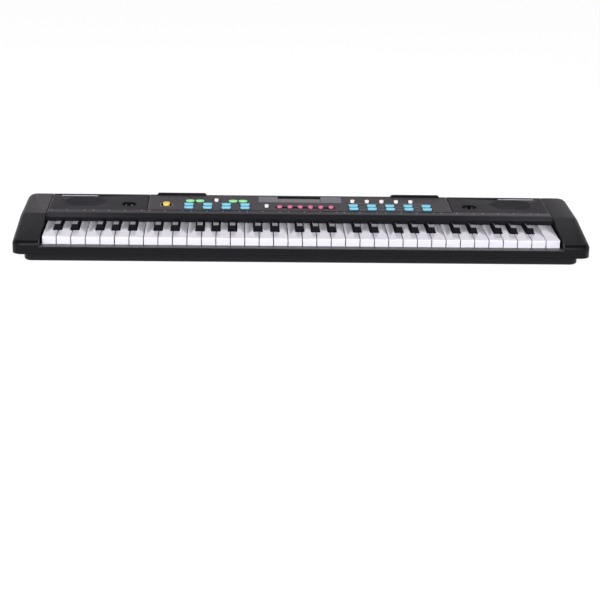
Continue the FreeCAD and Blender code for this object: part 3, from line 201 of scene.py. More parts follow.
class KeyboardStage(PropertyGroup):
    """Camera, lamps and room."""

    camera_place: FloatVectorProperty(name="Camera", description="Where the camera stands",
                                      default=(-0.0830, -2.1936, 0.6776), size=3, unit="LENGTH")
    yaw: number("Yaw", "Turn of the camera to the right", radians(2.20), unit="ROTATION")
    pitch: number("Pitch", "Tilt of the camera downwards", radians(19.07), unit="ROTATION")
    roll: number("Roll", "Lean of the camera", radians(1.14), unit="ROTATION")
    lens: number("Lens", "Focal length on a 36 mm sensor", 100.55, unit="CAMERA")
    room_tint: colour("Room tint", "Colour of the room's light", (0.97, 0.92, 0.99))
    room_light: number("Room light", "Strength of the room's even light", 0.34, min=0)
    wall_light: number("Wall light", "Strength of the low pale wall", 1.0, min=0)
    front_wall: number("Front wall", "Share of the wall's light in front", 0.33, min=0)
    front_lamp: number("Front lamp", "Power of the soft front lamp", 81.0, min=0)
    side_lamps: number("Side lamps", "Power of each of the two side lamps", 5.0, min=0)


def sizes():
    return bpy.context.scene.keyboard_sizes


def tone(name):
    """One of the colours that a user may change."""
    return tuple(getattr(bpy.context.scene.keyboard_colours, name))


def shade(base, factor):
    """A darker or paler form of a colour."""
    return tuple(min(1, channel * factor) for channel in base)


# Node graphs written as expressions

def overload(operation, swapped=False):
    """A method of Socket that adds a Math node."""
    def method(self, *others):
        return self.graph.math(operation, *((*others, self) if swapped else (self, *others)))
    return method


class Socket:
    """An output of a node that takes part in arithmetic."""

    def __init__(self, graph, link):
        self.graph, self.link = graph, link

    def beside(self, name):
        """Another output of the same node."""
        return Socket(self.graph, self.link.node.outputs[name])

    def calc(self, operation, *others):
        return self.graph.math(operation, self, *others)

    __add__ = __radd__ = overload("ADD")
    __mul__ = __rmul__ = overload("MULTIPLY")
    __sub__, __rsub__ = overload("SUBTRACT"), overload("SUBTRACT", swapped=True)
    __truediv__, __rtruediv__ = overload("DIVIDE"), overload("DIVIDE", swapped=True)
    __mod__, __abs__ = overload("FLOORED_MODULO"), overload("ABSOLUTE")
    __lt__, __gt__ = overload("LESS_THAN"), overload("GREATER_THAN")


class Graph:
    """A node tree to which nodes are added one by one."""

    def __init__(self, tree):
        self.tree = tree

    def node(self, kind, settings={}, sockets={}, out=0):
        """Adds a node: its settings first, then its sockets' values or links."""
        made = self.tree.nodes.new(kind)
        for name, value in settings.items():
            if name == "stops":
                self.ramp_stops(made.color_ramp.elements, value)
            else:
                setattr(made, name, value)
        for key, value in sockets.items():
            if isinstance(value, Socket):
                self.tree.links.new(value.link, made.inputs[key])
            else:
                made.inputs[key].default_value = value
        return Socket(self, made.outputs[out]) if made.outputs else made

    @staticmethod
    def ramp_stops(stops, wanted):
        while len(stops) < len(wanted):
            stops.new(1)
        for stop, (place, tint) in zip(stops, wanted):
            stop.position, stop.color = place, (*tint, 1)

    def math(self, operation, *values):
        return self.node("ShaderNodeMath", {"operation": operation}, dict(enumerate(values)))


class Finish(Graph):
    """A material whose look follows the place on the piece, in millimetres."""

    def __init__(self, name, **fixed):
        self.material = bpy.data.materials.new(name)
        self.material.use_nodes = True
        super().__init__(self.material.node_tree)
        self.tree.nodes.clear()
        self.surface = self.tree.nodes.new("ShaderNodeBsdfPrincipled")
        self.shader = Socket(self, self.surface.outputs[0])
        self.output = self.node("ShaderNodeOutputMaterial", {}, {"Surface": self.shader})
        for socket, value in fixed.items():
            self.surface.inputs[socket.replace("_", " ")].default_value = value
        where = self.node("ShaderNodeTexCoord", out="Object")
        self.place = self.node("ShaderNodeVectorMath", {"operation": "SCALE"},
                               {0: where, "Scale": 1 / MM})
        self.x = self.node("ShaderNodeSeparateXYZ", {}, {0: self.place})
        self.y, self.z = self.x.beside("Y"), self.x.beside("Z")

    def give(self, socket, value):
        self.tree.links.new(value.link, self.surface.inputs[socket])

    def coat(self, base, roughness, height, deep):
        """Sets colour and roughness, and raises the surface by height (0 to 1) times deep."""
        self.give("Base Color", base)
        self.give("Roughness", roughness)
        bump = self.node("ShaderNodeBump", {}, {"Height": height, "Distance": deep * MM})
        self.give("Normal", bump)
        return self.material

    def noise(self, period, detail=2.0, roughness=0.5, stretch=(1, 1, 1)):
        """Soft noise from 0 to 1 with blots of about that size."""
        place = self.node("ShaderNodeMapping", {}, {"Vector": self.place, "Scale": stretch})
        return self.node("ShaderNodeTexNoise", {}, {
            "Vector": place, "Scale": 1 / period, "Detail": detail, "Roughness": roughness})

    def grain(self, period):
        """Fine cells, as spark erosion leaves in a mould."""
        return self.node("ShaderNodeTexVoronoi", {"feature": "SMOOTH_F1"},
                         {"Vector": self.place, "Scale": 1 / period}, out="Distance")

    def ramp(self, factor, low, high):
        """0 below low, 1 above high, smooth between."""
        return self.node("ShaderNodeMapRange", {"interpolation_type": "SMOOTHSTEP"},
                         {"Value": factor, "From Min": low, "From Max": high})

    def within(self, value, low, high):
        """1 between low and high."""
        return (value > low) * (value < high)

    def mix(self, factor, first, second):
        """A colour between two colours."""
        pick = lambda side: side if isinstance(side, Socket) else (*side, 1)
        return self.node("ShaderNodeMix", {"data_type": "RGBA"},
                         {0: factor, 6: pick(first), 7: pick(second)}, out=2)

    def vary(self, factor, base, low, high):
        """A colour from low to high times the base."""
        return self.mix(factor, shade(base, low), shade(base, high))


# Finishes

def once(make):
    """Makes a finish only where none has its name."""
    def found(name, *rest):
        return bpy.data.materials.get(name) or make(name, *rest)
    return found


def moulded(name, base, roughness, gloss=0.5, grain=0.55, deep=0.02, mottle=0.12, **fixed):
    """Moulded plastic: eroded grain, faint flow marks and patches polished by hands."""
    finish = Finish(name, Specular_IOR_Level=gloss, **fixed)
    cloud, speck, rub = finish.noise(70, 3), finish.grain(grain), finish.noise(22, 4, 0.6)
    finish.base = finish.vary(cloud, base, 1 - mottle, 1 + mottle)
    finish.coat(finish.base, roughness + (rub - 0.5) * 0.10 + (speck - 0.4) * 0.05,
                speck * 0.8 + finish.noise(grain * 4, 2) * 0.2, deep)
    return finish


def speckled(name, dark, pale, noise, roughness, spread, deep, **fixed):
    """A finish whose colour, roughness and height follow one noise."""
    finish = Finish(name, **fixed)
    speck = finish.noise(*noise)
    return finish.coat(finish.mix(speck, dark, pale), roughness + speck * spread, speck, deep)


@once
def ink_and_painted_light(name, base, gloss=0.3):
    """Screen-printed ink, a little broken at its edges, also used to paint shade and highlight."""
    return speckled(name, shade(base, 0.75), shade(base, 1.1), (0.6, 3, 0.7), 0.5, 0.2, 0.01,
                    Specular_IOR_Level=gloss)


@once
def steel(name, base):
    """Plated or blackened steel."""
    finish = Finish(name, Metallic=1.0)
    cloud = finish.noise(2.5, 4, 0.6)
    return finish.coat(finish.vary(cloud, base, 0.7, 1.1), 0.30 + cloud * 0.25,
                       finish.noise(0.4, 2), 0.006)


@once
def button_plastic(name, base, gloss, glow):
    """Soft plastic with a satin top, and an emission that paints extra light on it."""
    finish = Finish(name, Specular_IOR_Level=gloss, Emission_Color=(*base, 1),
                    Emission_Strength=glow)
    return finish.coat(finish.vary(finish.noise(14, 2), base, 0.95, 1.05),
                       0.34 + finish.noise(3, 3) * 0.12, finish.grain(0.5), 0.008)


def case_plastic():
    """Black plastic with painted sheen on its long flat areas and painted highlights at the parting
    groove.
    """
    finish = moulded("case_plastic", tone("case"), 0.40, gloss=0.14)
    inside = abs(finish.x) < BAY_HALF
    # Painted sheen on the fallboard, stronger at its ends, and painted highlights on strip and
    # ledge
    fallboard_sheen, strip, ledge = (finish.within(finish.y, front, rear) * (finish.z > foot) * inside
                          for front, rear, foot in (FALLBOARD, STRIP, LEDGE))
    ends = finish.ramp(abs(finish.x), 190, 340) * 1.9
    # Painted highlights on both edges of the parting groove
    lower, upper = (finish.within(finish.z, *band) for band in GROOVE_EDGE_HIGHLIGHTS)
    strength = fallboard_sheen * (1 + ends) + (lower + upper) * 0.45 + strip * 4.5 + ledge * 5.0
    wear_and_painted_sheen = (strength * (0.8 + finish.noise(12, 3) * 0.4) * 0.2).calc("MINIMUM", 1)
    finish.give("Base Color", finish.mix(wear_and_painted_sheen, finish.base, tone("wear_and_painted_sheen")))
    return finish.material


def key_plastic(name, base, roughness, gloss, **fixed):
    """Polished key plastic with faint wear at the front, where fingers land."""
    finish = Finish(name, Specular_IOR_Level=gloss, **fixed)
    wear_and_painted_sheen = (1 - finish.ramp(finish.y, *KEY_WEAR)) * finish.noise(9, 4, 0.65)
    return finish.coat(finish.vary(finish.noise(35, 2), base, 0.985, 1.01),
                       roughness + wear_and_painted_sheen * 0.06, finish.noise(2.5, 3, 0.5), 0.004)


def window_plastic():
    """Grey window with a warm tint near its front edge and painted shade at its rear edge."""
    finish = Finish("window_plastic", Specular_IOR_Level=0.08)
    start, middle, end = LENS_TINT
    tint = finish.ramp(finish.y, start, middle) * (1 - finish.ramp(finish.y, middle, end))
    cloud = finish.noise(18, 2)
    warm = finish.mix(tint * 0.5, finish.vary(cloud, tone("window"), 0.9, 1.1), (0.16, 0.08, 0.10))
    # Painted shade along the rear, where the window's rear wall shadows it
    rear_shaded = finish.mix(finish.ramp(finish.y, *LENS_SHADE), warm, (0.002, 0.002, 0.003))
    return finish.coat(rear_shaded, 0.20 + cloud * 0.08, finish.noise(1.5, 2), 0.004)


def port_plastic():
    """Black port with a painted highlight along the rim of its flange."""
    finish = moulded("port_plastic", tone("port"), 0.45, gloss=0.05, grain=0.3, IOR=1.15)
    across, along = abs(finish.x) - PORT_MIDDLE[0], finish.y - PORT_MIDDLE[1]
    # Painted highlight on the flange's rim
    rim = (across * across + along * along) > PORT_HIGHLIGHT_RADIUS ** 2
    finish.give("Base Color", finish.mix(rim, finish.base, (0.075, 0.073, 0.078)))
    return finish.material


def circuit_board():
    """Green boards with tracks and pads, and black sockets on the jack card."""
    finish = Finish("circuit_board", Specular_IOR_Level=0.5)
    bare, track = (0, 0, 0, 1), (1, 1, 1, 1)
    tracks = finish.node("ShaderNodeTexBrick", {"offset": 0.37, "squash": 1.0}, {
        "Vector": finish.place, "Scale": 0.12, "Mortar Size": 0.035, "Color1": bare,
        "Color2": bare, "Mortar": track}, out="Fac")
    green = finish.vary(tracks, tone("board"), 1, 1.8)
    pads = finish.grain(3.1) < 0.16
    copper = finish.mix(pads, green, (0.55, 0.50, 0.38))
    sockets = finish.within(finish.x, *SOCKETS[:2]) * (finish.y > SOCKETS[2])
    return finish.coat(finish.mix(sockets, copper, (0.012, 0.012, 0.012)),
                       0.35 + finish.noise(6, 2) * 0.15, tracks * 0.5 + pads * 0.5, 0.035)


# Mesh work

def link(name, form, material):
    """Puts a form, which is used up, in the scene as a piece with one material."""
    mesh = bpy.data.meshes.new(name)
    form.to_mesh(mesh)
    form.free()
    mesh.materials.clear()
    mesh.materials.append(material)
    piece = bpy.data.objects.new(name, mesh)
    bpy.context.scene.collection.objects.link(piece)
    return piece


def points(name, places, material, long=()):
    """A piece of loose points; long keeps a length for each of them."""
    form = bmesh.new()
    for place in places:
        form.verts.new(Vector(place) * MM)
    piece = link(name, form, material)
    if long:
        kept = piece.data.attributes.new("long", "FLOAT", "POINT")
        kept.data.foreach_set("value", [value * MM for value in long])
    return piece


def solids(form, above=None):
    """The corners of each separate solid, or of what stands above a height."""
    left = {corner for corner in form.verts if above is None or corner.co.z > above}
    found = []
    while left:
        solid, front = [], [left.pop()]
        while front:
            corner = front.pop()
            solid.append(corner)
            near = {edge.other_vert(corner) for edge in corner.link_edges} & left
            left -= near
            front += near
        found.append(solid)
    return found


def reach(corners):
    """Lowest and highest corner of some corners' box."""
    places = [corner.co for corner in corners]
    return (Vector(min(place[axis] for place in places) for axis in range(3)),
            Vector(max(place[axis] for place in places) for axis in range(3)))


def merged(node, keep=None, whole=True):
    """A copy of a CAD node's mesh with its corners joined and its flat faces whole.

    keep picks some of the node's solids by the middle of their box.
    """
    form = bmesh.new()
    form.from_mesh(frame["nodes"][node].data)
    bmesh.ops.remove_doubles(form, verts=form.verts, dist=0.002 * MM)
    if keep:
        for solid in solids(form):
            if not keep(sum(reach(solid), Vector()) / 2 / MM):
                bmesh.ops.delete(form, geom=solid)
    if whole:
        bmesh.ops.dissolve_limit(form, angle_limit=radians(0.4), verts=form.verts, edges=form.edges)
    return form


def of_kind(items, kind):
    return [item for item in items if isinstance(item, kind)]


def set_height(extruded, height):
    """Moves the corners that an extrusion made to a height."""
    for corner in of_kind(extruded["geom"], bmesh.types.BMVert):
        corner.co.z = height * MM


def slab(name, areas, low, high, material):
    """Upright blocks with rounded corners over areas (x, y, x, y, corner)."""
    form, steps = bmesh.new(), 6
    for x0, y0, x1, y1, corner in areas:
        ring = []
        for turn, (x, y) in enumerate(((x1, y1), (x0, y1), (x0, y0), (x1, y0))):
            middle = (x - corner if x == x1 else x + corner, y - corner if y == y1 else y + corner)
            for step in range(steps + 1 if corner else 1):
                angle = (turn + step / steps) * pi / 2
                ring.append(form.verts.new(((middle[0] + corner * cos(angle)) * MM,
                                            (middle[1] + corner * sin(angle)) * MM, low * MM)))
        base = form.faces.new(ring)
        set_height(bmesh.ops.extrude_face_region(form, geom=[base]), high)
    bmesh.ops.remove_doubles(form, verts=form.verts, dist=0.001 * MM)
    bmesh.ops.recalc_face_normals(form, faces=form.faces)
    return link(name, form, material)


def smooth(mesh):
    mesh.shade_smooth()
    mesh.set_sharp_from_angle(angle=radians(35))


def soften(piece, width, steps=2):
    """Rounds the sharp edges of a piece."""
    smooth(piece.data)
    edge = piece.modifiers.new("edge", "BEVEL")
    edge.width, edge.segments = width, steps
    edge.limit_method, edge.angle_limit = "ANGLE", radians(40)
    edge.harden_normals = True
    edge.miter_outer = "MITER_ARC"
    return piece


def settle(piece):
    """Turns a piece and its modifiers into a plain mesh."""
    seen = piece.evaluated_get(bpy.context.evaluated_depsgraph_get())
    solid = bpy.data.meshes.new_from_object(seen)
    piece.modifiers.clear()
    piece.data = solid
    return piece


def boolean(piece, tool, operation):
    """Joins, cuts or crosses a piece with a tool, which is used up."""
    change = piece.modifiers.new("change", "BOOLEAN")
    change.operation, change.object, change.solver = operation, tool, "EXACT"
    settle(piece)
    bpy.data.objects.remove(tool)
    return piece


def stand_for(piece, node):
    """Lets a piece take a CAD node's place and body."""
    body = frame["nodes"][node]["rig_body"]
    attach(piece, body)
    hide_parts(node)
    return piece


def added(piece):
    """Fixes a new piece to the case."""
    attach(piece, "case")


def softened(name, node, material, width, steps=2, keep=None, whole=True):
    """A softened copy of a CAD node, or of some of its solids, that stands in its place."""
    return stand_for(soften(link(name, merged(node, keep, whole), material), width, steps), node)


def slotted(name, node, keep=None):
    """Screws of a node with rounded heads and a cross slot cut into each."""
    metal = steel("screw_steel_finish", tone("screw"))
    form = merged(node, keep)
    heads = []
    for screw in solids(form):
        low, high = reach(screw)
        heads.append((*((low + high) / 2 / MM).xy, low.z / MM))
    piece = settle(soften(link(name, form, metal), SCREW_EDGE * MM))
    half, (arm, foot, top) = sizes().screw_slot / 2 / MM, SLOT
    blade = slab("slot", [(-arm, -half, arm, half, 0)], foot, top, metal)
    boolean(blade, slab("slot_across", [(-half, -arm, half, arm, 0)], foot, top, metal), "UNION")
    cutter = points("slots", heads, metal)
    original_form("screw_slots", metal).run(cutter, Original=blade)
    bpy.data.objects.remove(blade)
    boolean(piece, cutter, "DIFFERENCE")
    smooth(piece.data)
    return stand_for(piece, node)


def tops(node):
    """Middle and size, seen from above, of each cap of a node."""
    form = merged(node)
    caps = []
    for cap in solids(form, DECK_HEIGHT):
        low, high = reach(cap)
        caps.append((*((low + high) / 2 / MM).xy, *((high - low) / MM).xy))
    form.free()
    return caps


def dress(node, material):
    """Gives a CAD node that stays in view its finish."""
    slots = frame["nodes"][node].material_slots
    for slot in slots:
        slot.material = material
    if not slots:
        frame["nodes"][node].data.materials.append(material)


# Geometry Nodes

class Form(Graph):
    """A Geometry Nodes tree with named sizes, run once on a piece."""

    def __init__(self, name, **inputs):
        super().__init__(bpy.data.node_groups.new(name, "GeometryNodeTree"))
        face = self.tree.interface
        self.sockets = {
            label: face.new_socket(label, socket_type=f"NodeSocket{kind}")
            for label, kind in {"Geometry": "Geometry", **inputs}.items()}
        face.new_socket("Geometry", in_out="OUTPUT", socket_type="NodeSocketGeometry")
        self.entry = self.tree.nodes.new("NodeGroupInput")

    def value(self, label):
        return Socket(self, self.entry.outputs[label])

    def finish(self, geometry, material):
        """Ends the tree: instances made real and given their material."""
        real = self.node("GeometryNodeRealizeInstances", {}, {0: geometry})
        dyed = self.node("GeometryNodeSetMaterial", {}, {"Geometry": real, "Material": material})
        self.node("NodeGroupOutput", {}, {0: dyed})
        return self

    def copies(self, shape, material, **more):
        """Ends the tree with a copy of a shape at each point."""
        return self.finish(self.node("GeometryNodeInstanceOnPoints", {}, {
            "Points": self.value("Geometry"), "Instance": shape, **more}), material)

    def run(self, piece, **values):
        """Runs the tree on a piece and leaves a plain mesh."""
        grown = piece.modifiers.new(self.tree.name, "NODES")
        grown.node_group = self.tree
        for label, value in values.items():
            grown[self.sockets[label].identifier] = value
        bpy.context.view_layer.update()
        return settle(piece)


def dash_form(material):
    """A flat dash of ink at each point, as long as the point says."""
    form = Form("dashes", Width="Float", Thickness="Float")
    cube = form.node("GeometryNodeMeshCube", {}, {"Size": (1, 1, 1)})
    long = form.node("GeometryNodeInputNamedAttribute", {"data_type": "FLOAT"}, {"Name": "long"})
    size = form.node("ShaderNodeCombineXYZ", {}, {
        0: long, 1: form.value("Width"), 2: form.value("Thickness")})
    return form.copies(cube, material, Scale=size)


def tablet_form(material):
    """A flat tablet with rounded corners at each point, closed below."""
    form = Form("tablets", Width="Float", Length="Float", Corner="Float", Thickness="Float")
    outline = form.node("GeometryNodeCurvePrimitiveQuadrilateral", {}, {
        "Width": form.value("Width"), "Height": form.value("Length")})
    rounded = form.node("GeometryNodeFilletCurve", {"mode": "POLY"}, {
        "Curve": outline, "Count": 8, "Radius": form.value("Corner"), "Limit Radius": True})
    flat = form.node("GeometryNodeFillCurve", {"mode": "NGONS"}, {0: rounded})
    thick = form.node("GeometryNodeExtrudeMesh", {}, {
        "Mesh": flat, "Individual": False, "Offset Scale": form.value("Thickness")})
    closed = form.node("GeometryNodeJoinGeometry", {}, {0: thick})
    foot = form.node("GeometryNodeFlipFaces", {}, {0: flat})
    form.tree.links.new(foot.link, closed.link.node.inputs[0])
    return form.copies(form.node("GeometryNodeMergeByDistance", {}, {
        "Geometry": closed, "Distance": 0.001 * MM}), material)


def original_form(name, material):
    """The original piece at each point."""
    form = Form(name, Original="Object")
    return form.copies(form.node("GeometryNodeObjectInfo", {}, {
        "Object": form.value("Original")}, out="Geometry"), material)


def relief_form(material):
    """Blocks seen along their corner: a net of triangles with points at three heights in turn."""
    form = Form("tumbling_blocks", Columns="Int", Rows="Int", Cell="Float", Row="Float",
                Depth="Float")
    columns, rows = form.value("Columns"), form.value("Rows")
    half, pitch, deep = form.value("Cell") / 2, form.value("Row") * 2 / 3, form.value("Depth")
    net = form.node("GeometryNodeMeshGrid", {}, {
        "Size X": 1.0, "Size Y": 1.0, "Vertices X": columns, "Vertices Y": rows})
    number = form.node("GeometryNodeInputIndex")
    column = (number / rows).calc("FLOOR")
    row = number % rows
    turn = (row - (column / 2).calc("FLOOR") - column + columns * 3) % 3
    height = deep * (turn.calc("COMPARE", 1, 0.1) * 0.5 + turn.calc("COMPARE", 2, 0.1))
    place = form.node("ShaderNodeCombineXYZ", {}, {
        0: (column - (columns - 1) / 2) * half,
        1: (row - (rows - 1) / 2 + (column % 2) / 2) * pitch,
        2: height})
    net = form.node("GeometryNodeSetPosition", {}, {"Geometry": net, "Position": place})
    net = form.node("GeometryNodeTriangulate", {"quad_method": "SHORTEST_DIAGONAL"}, {0: net})
    return form.finish(net, material)


# The pieces

class KEYBOARD_OT_stage(Operator):
    """Lays the floor, lights the room and sets the camera at the photograph's angle"""

    bl_idname = "keyboard.stage"
    bl_label = "Stage"

    # Each lamp's place and size in metres, and the property that holds its power
    LAMPS = {"front_lamp": ((-0.30, -2.45, 1.38), (2.8, 1.0), "front_lamp"),
             "left_lamp": ((-2.0, -1.5, 1.15), (0.4, 0.4), "side_lamps"),
             "right_lamp": ((2.0, -1.5, 1.15), (0.4, 0.4), "side_lamps")}
    # The point that every lamp faces, in metres
    AIM = (0, 0, 0.03)
    # Heights over the horizon in degrees: the wall's top, and the dim room's start and end
    HEIGHTS = (21, 33, 50)
    # The dim room's share of the even light, and where the room fades from front to back
    DIM, FADE = 0.6, (-0.30, 0.70)
    # The floor's colour for the object's light, its colour in the lamps' light for the eye, and
    # its own glow for the eye, as shares of the backdrop's colour
    FOR_OBJECT, FOR_EYE, GLOW = 0.72, 0.30, 0.88
    # Half the floor's width in metres, and how far it lies under the foot rings
    FLOOR_HALF, FLOOR_GAP = 6, 0.02

    def execute(self, context):
        stage = context.scene.keyboard_stage
        self.floor()
        self.room(context.scene, stage)
        for name, (place, size, power) in self.LAMPS.items():
            self.lamp(name, place, size, getattr(stage, power))
        self.camera(context.scene, stage)
        context.scene.view_settings.view_transform = "Standard"
        return {"FINISHED"}

    def floor(self):
        form = bmesh.new()
        bmesh.ops.create_grid(form, x_segments=1, y_segments=1, size=self.FLOOR_HALF)
        floor = link("floor", form, self.floor_paint())
        floor.location.z = CAD_BOX[0][2] - self.FLOOR_GAP * MM

    def floor_paint(self):
        """Matt white; eyes and mirrors see it lit up, less the object's shadow."""
        pale = tone("backdrop")
        paint = Finish("floor_paint", Roughness=0.9, Specular_IOR_Level=0.0,
                       Base_Color=(*shade(pale, self.FOR_OBJECT), 1))
        bare = paint.node("ShaderNodeBsdfDiffuse", {}, {"Color": (*shade(pale, self.FOR_EYE), 1)})
        glow = paint.node("ShaderNodeEmission", {}, {"Color": (*pale, 1), "Strength": self.GLOW})
        shown = paint.node("ShaderNodeAddShader", {}, {0: bare, 1: glow})
        seen = self.seen(paint, "Is Glossy Ray", "Is Transmission Ray")
        both = paint.node("ShaderNodeMixShader", {}, {0: seen, 1: paint.shader, 2: shown})
        paint.tree.links.new(both.link, paint.output.inputs["Surface"])
        return paint.material

    def seen(self, graph, *kinds):
        """1 for rays from the eye and for these kinds of rays."""
        path = seen = graph.node("ShaderNodeLightPath")
        for kind in kinds:
            seen = seen.calc("MAXIMUM", path.beside(kind))
        return seen

    def room(self, scene, stage):
        """A pale wall all round, low behind the floor, and a dimmer room above it."""
        world = bpy.data.worlds.new("studio")
        world.use_nodes = True
        scene.world = world
        room = Graph(world.node_tree)
        room.tree.nodes.clear()
        way = room.node("ShaderNodeTexCoord", out="Generated")
        back = room.node("ShaderNodeSeparateXYZ", {}, {0: way}, out="Y")
        wall = shade(stage.room_tint, stage.wall_light)
        even = shade(stage.room_tint, stage.room_light)
        dim = shade(even, self.DIM)
        top, start, end = (sin(radians(angle)) for angle in self.HEIGHTS)
        light = room.node("ShaderNodeValToRGB", {"stops": [
            (0.0, wall), (top, wall), (start, dim), (end, dim), (1.0, even)]},
            {0: back.beside("Z")})
        clear = self.seen(room, "Is Transmission Ray")
        tint = room.node("ShaderNodeMix", {"data_type": "RGBA"}, {
            0: clear, 6: light, 7: (*tone("backdrop"), 1)}, out=2)
        start, end = self.FADE
        front = room.node("ShaderNodeMapRange", {"interpolation_type": "SMOOTHSTEP"}, {
            "Value": back, "From Min": start, "From Max": end, "To Min": stage.front_wall,
            "To Max": 1.0})
        glow = room.node("ShaderNodeBackground", {}, {
            "Color": tint, "Strength": clear * (1 - front) + front})
        room.node("ShaderNodeOutputWorld", {}, {"Surface": glow})

    def lamp(self, name, place, size, power):
        """A rectangular lamp that points at the middle of the object."""
        data = bpy.data.lights.new(name, "AREA")
        data.shape, data.size, data.size_y, data.energy = "RECTANGLE", *size, power
        lamp = bpy.data.objects.new(name, data)
        bpy.context.scene.collection.objects.link(lamp)
        lamp.location = place
        ahead = Vector(self.AIM) - lamp.location
        lamp.rotation_euler = ahead.to_track_quat("-Z", "Y").to_euler()

    def camera(self, scene, stage):
        data = bpy.data.cameras.new("camera")
        data.lens, data.sensor_width = stage.lens, 36
        camera = bpy.data.objects.new("camera", data)
        scene.collection.objects.link(camera)
        yaw, pitch, roll = stage.yaw, stage.pitch, stage.roll
        ahead = Vector((sin(yaw) * cos(pitch), cos(yaw) * cos(pitch), -sin(pitch)))
        right = Vector((cos(yaw), -sin(yaw), 0))
        up = right.cross(ahead)
        right, up = cos(roll) * right + sin(roll) * up, cos(roll) * up - sin(roll) * right
        camera.matrix_world = Matrix.Translation(stage.camera_place) @ Matrix(
            (right, up, -ahead)).transposed().to_4x4()
        scene.camera = camera


class KEYBOARD_OT_case(Operator):
    """Makes the upper case with softened moulded edges and the parting groove"""

    bl_idname = "keyboard.case"
    bl_label = "Upper case"

    # The corner of the case in plan, and how far the groove's cutter stands out of the case
    CORNER, PAST = 13, 5

    def execute(self, context):
        plastic = case_plastic()
        case = link("upper_case", merged("top_case"), plastic)
        low, high, deep = PARTING
        ring = self.outline("parting", self.PAST, low, high, plastic)
        boolean(ring, self.outline("parting_inside", -deep, low - 1, high + 1, plastic),
                "DIFFERENCE")
        boolean(case, ring, "DIFFERENCE")
        stand_for(soften(case, sizes().case_edge), "top_case")
        return {"FINISHED"}

    def outline(self, name, grow, low, high, plastic):
        """The shell's outline in plan, grown or shrunk, as an upright block."""
        least, most = (corner.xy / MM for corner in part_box("top_case"))
        area = (least.x - grow, least.y - grow, most.x + grow, REAR_Y + grow, self.CORNER + grow)
        return slab(name, [area], low, high, plastic)


class KEYBOARD_OT_pan(Operator):
    """Makes the lower case and carves the relief of blocks into its underside"""

    bl_idname = "keyboard.pan"
    bl_label = "Lower case"

    # How far the relief stays from the edges of the floor and of the rim, and its corner
    FLOOR_MARGIN, RIM_MARGIN, CORNER = 5, 1.4, 9
    # The pan's wall: how far the rim's relief stays from it, and its corner
    WALL_MARGIN, WALL_CORNER = 3, 14
    # The bare seat round a screw of the rim, and how far along x or y such screws lie out
    SEAT_RADIUS, SEATS_PAST = 4, (360, 80)
    # Depth of the relief's highest corners
    SHALLOW = 0.03
    # Foot of the relief's cutter, and foot and top of what trims it, over the face
    CUTTER_FOOT, FRAME, KEPT = -3, (-2, 4), (-4, 5)
    # The relief's facets lie below the first height, or between the others
    FACETS = (2, 13, 15)

    def execute(self, context):
        plastic = moulded("pan_plastic", tone("pan"), 0.34, gloss=0.20, deep=0.012).material
        pan = link("lower_case", merged("bottom_case"), plastic)
        settle(soften(pan, sizes().case_edge))
        rim = low, high = tuple(corner.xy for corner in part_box("bottom_case"))
        floor = (Vector((low.x + PAN_SIDE * MM, low.y + PAN_FRONT * MM)),
                 Vector((high.x - PAN_SIDE * MM, high.y - PAN_FRONT * MM)))
        off = Vector((self.WALL_MARGIN, self.WALL_MARGIN))
        inner = [(*(floor[0] / MM - off), *(floor[1] / MM + off), self.WALL_CORNER)]
        self.carve(pan, "floor_relief", PAN_FLOOR, floor, self.FLOOR_MARGIN, [PLAIN_AREAS], plastic)
        self.carve(pan, "rim_relief", PAN_RIM, rim, self.RIM_MARGIN, [inner, self.screw_seats()],
                   plastic)
        smooth(pan.data)
        self.flatten(pan.data)
        stand_for(pan, "bottom_case")
        return {"FINISHED"}

    def screw_seats(self):
        """Round areas about the screws of the rim; the others stand in the wells."""
        form, wide = merged("case_screws", whole=False), self.SEAT_RADIUS
        middles = [sum(reach(screw), Vector()) / 2 / MM for screw in solids(form)]
        form.free()
        return [(x - wide, y - wide, x + wide, y + wide, wide) for x, y, z in middles
                if abs(x) > self.SEATS_PAST[0] or abs(y) > self.SEATS_PAST[1]]

    def carve(self, pan, name, level, area, margin, plain, plastic):
        """Cuts the relief into a flat face that looks down at a level."""
        cell, row, deep = sizes().relief_cell, sizes().relief_row, sizes().relief_deep
        inset = Vector((margin, margin)) * MM
        low, high = area[0] + inset, area[1] - inset
        seed = points(name, [(0, 0, 0)], plastic)
        cutter = relief_form(plastic).run(
            seed, Columns=int((high.x - low.x) / cell * 2) + 3,
            Rows=int((high.y - low.y) / row * 1.5) + 3, Cell=cell, Row=row, Depth=deep)
        form = bmesh.new()
        form.from_mesh(cutter.data)
        bmesh.ops.remove_doubles(form, verts=form.verts, dist=0.01 * MM)
        middle = (low + high) / 2
        for corner in form.verts:
            corner.co += Vector((middle.x, middle.y, (level - self.SHALLOW) * MM))
        set_height(bmesh.ops.extrude_edge_only(
            form, edges=[edge for edge in form.edges if edge.is_boundary]),
            level + self.CUTTER_FOOT)
        bmesh.ops.contextual_create(form, geom=[edge for edge in form.edges if edge.is_boundary])
        bmesh.ops.recalc_face_normals(form, faces=form.faces)
        form.to_mesh(cutter.data)
        form.free()
        box = (low.x / MM, low.y / MM, high.x / MM, high.y / MM, self.CORNER)
        foot, top = self.FRAME
        boolean(cutter, slab("relief_frame", [box], level + foot, level + top, plastic),
                "INTERSECT")
        foot, top = self.KEPT
        for areas in plain:
            boolean(cutter, slab("relief_keep", areas, level + foot, level + top, plastic),
                    "DIFFERENCE")
        boolean(pan, cutter, "DIFFERENCE")

    def flatten(self, mesh):
        """Leaves the relief's facets flat, so that each catches the light alone."""
        floor, low, high = self.FACETS
        for face in mesh.polygons:
            height = face.center.z / MM
            if face.normal.z < -0.5 and (height < floor or low < height < high):
                face.use_smooth = False


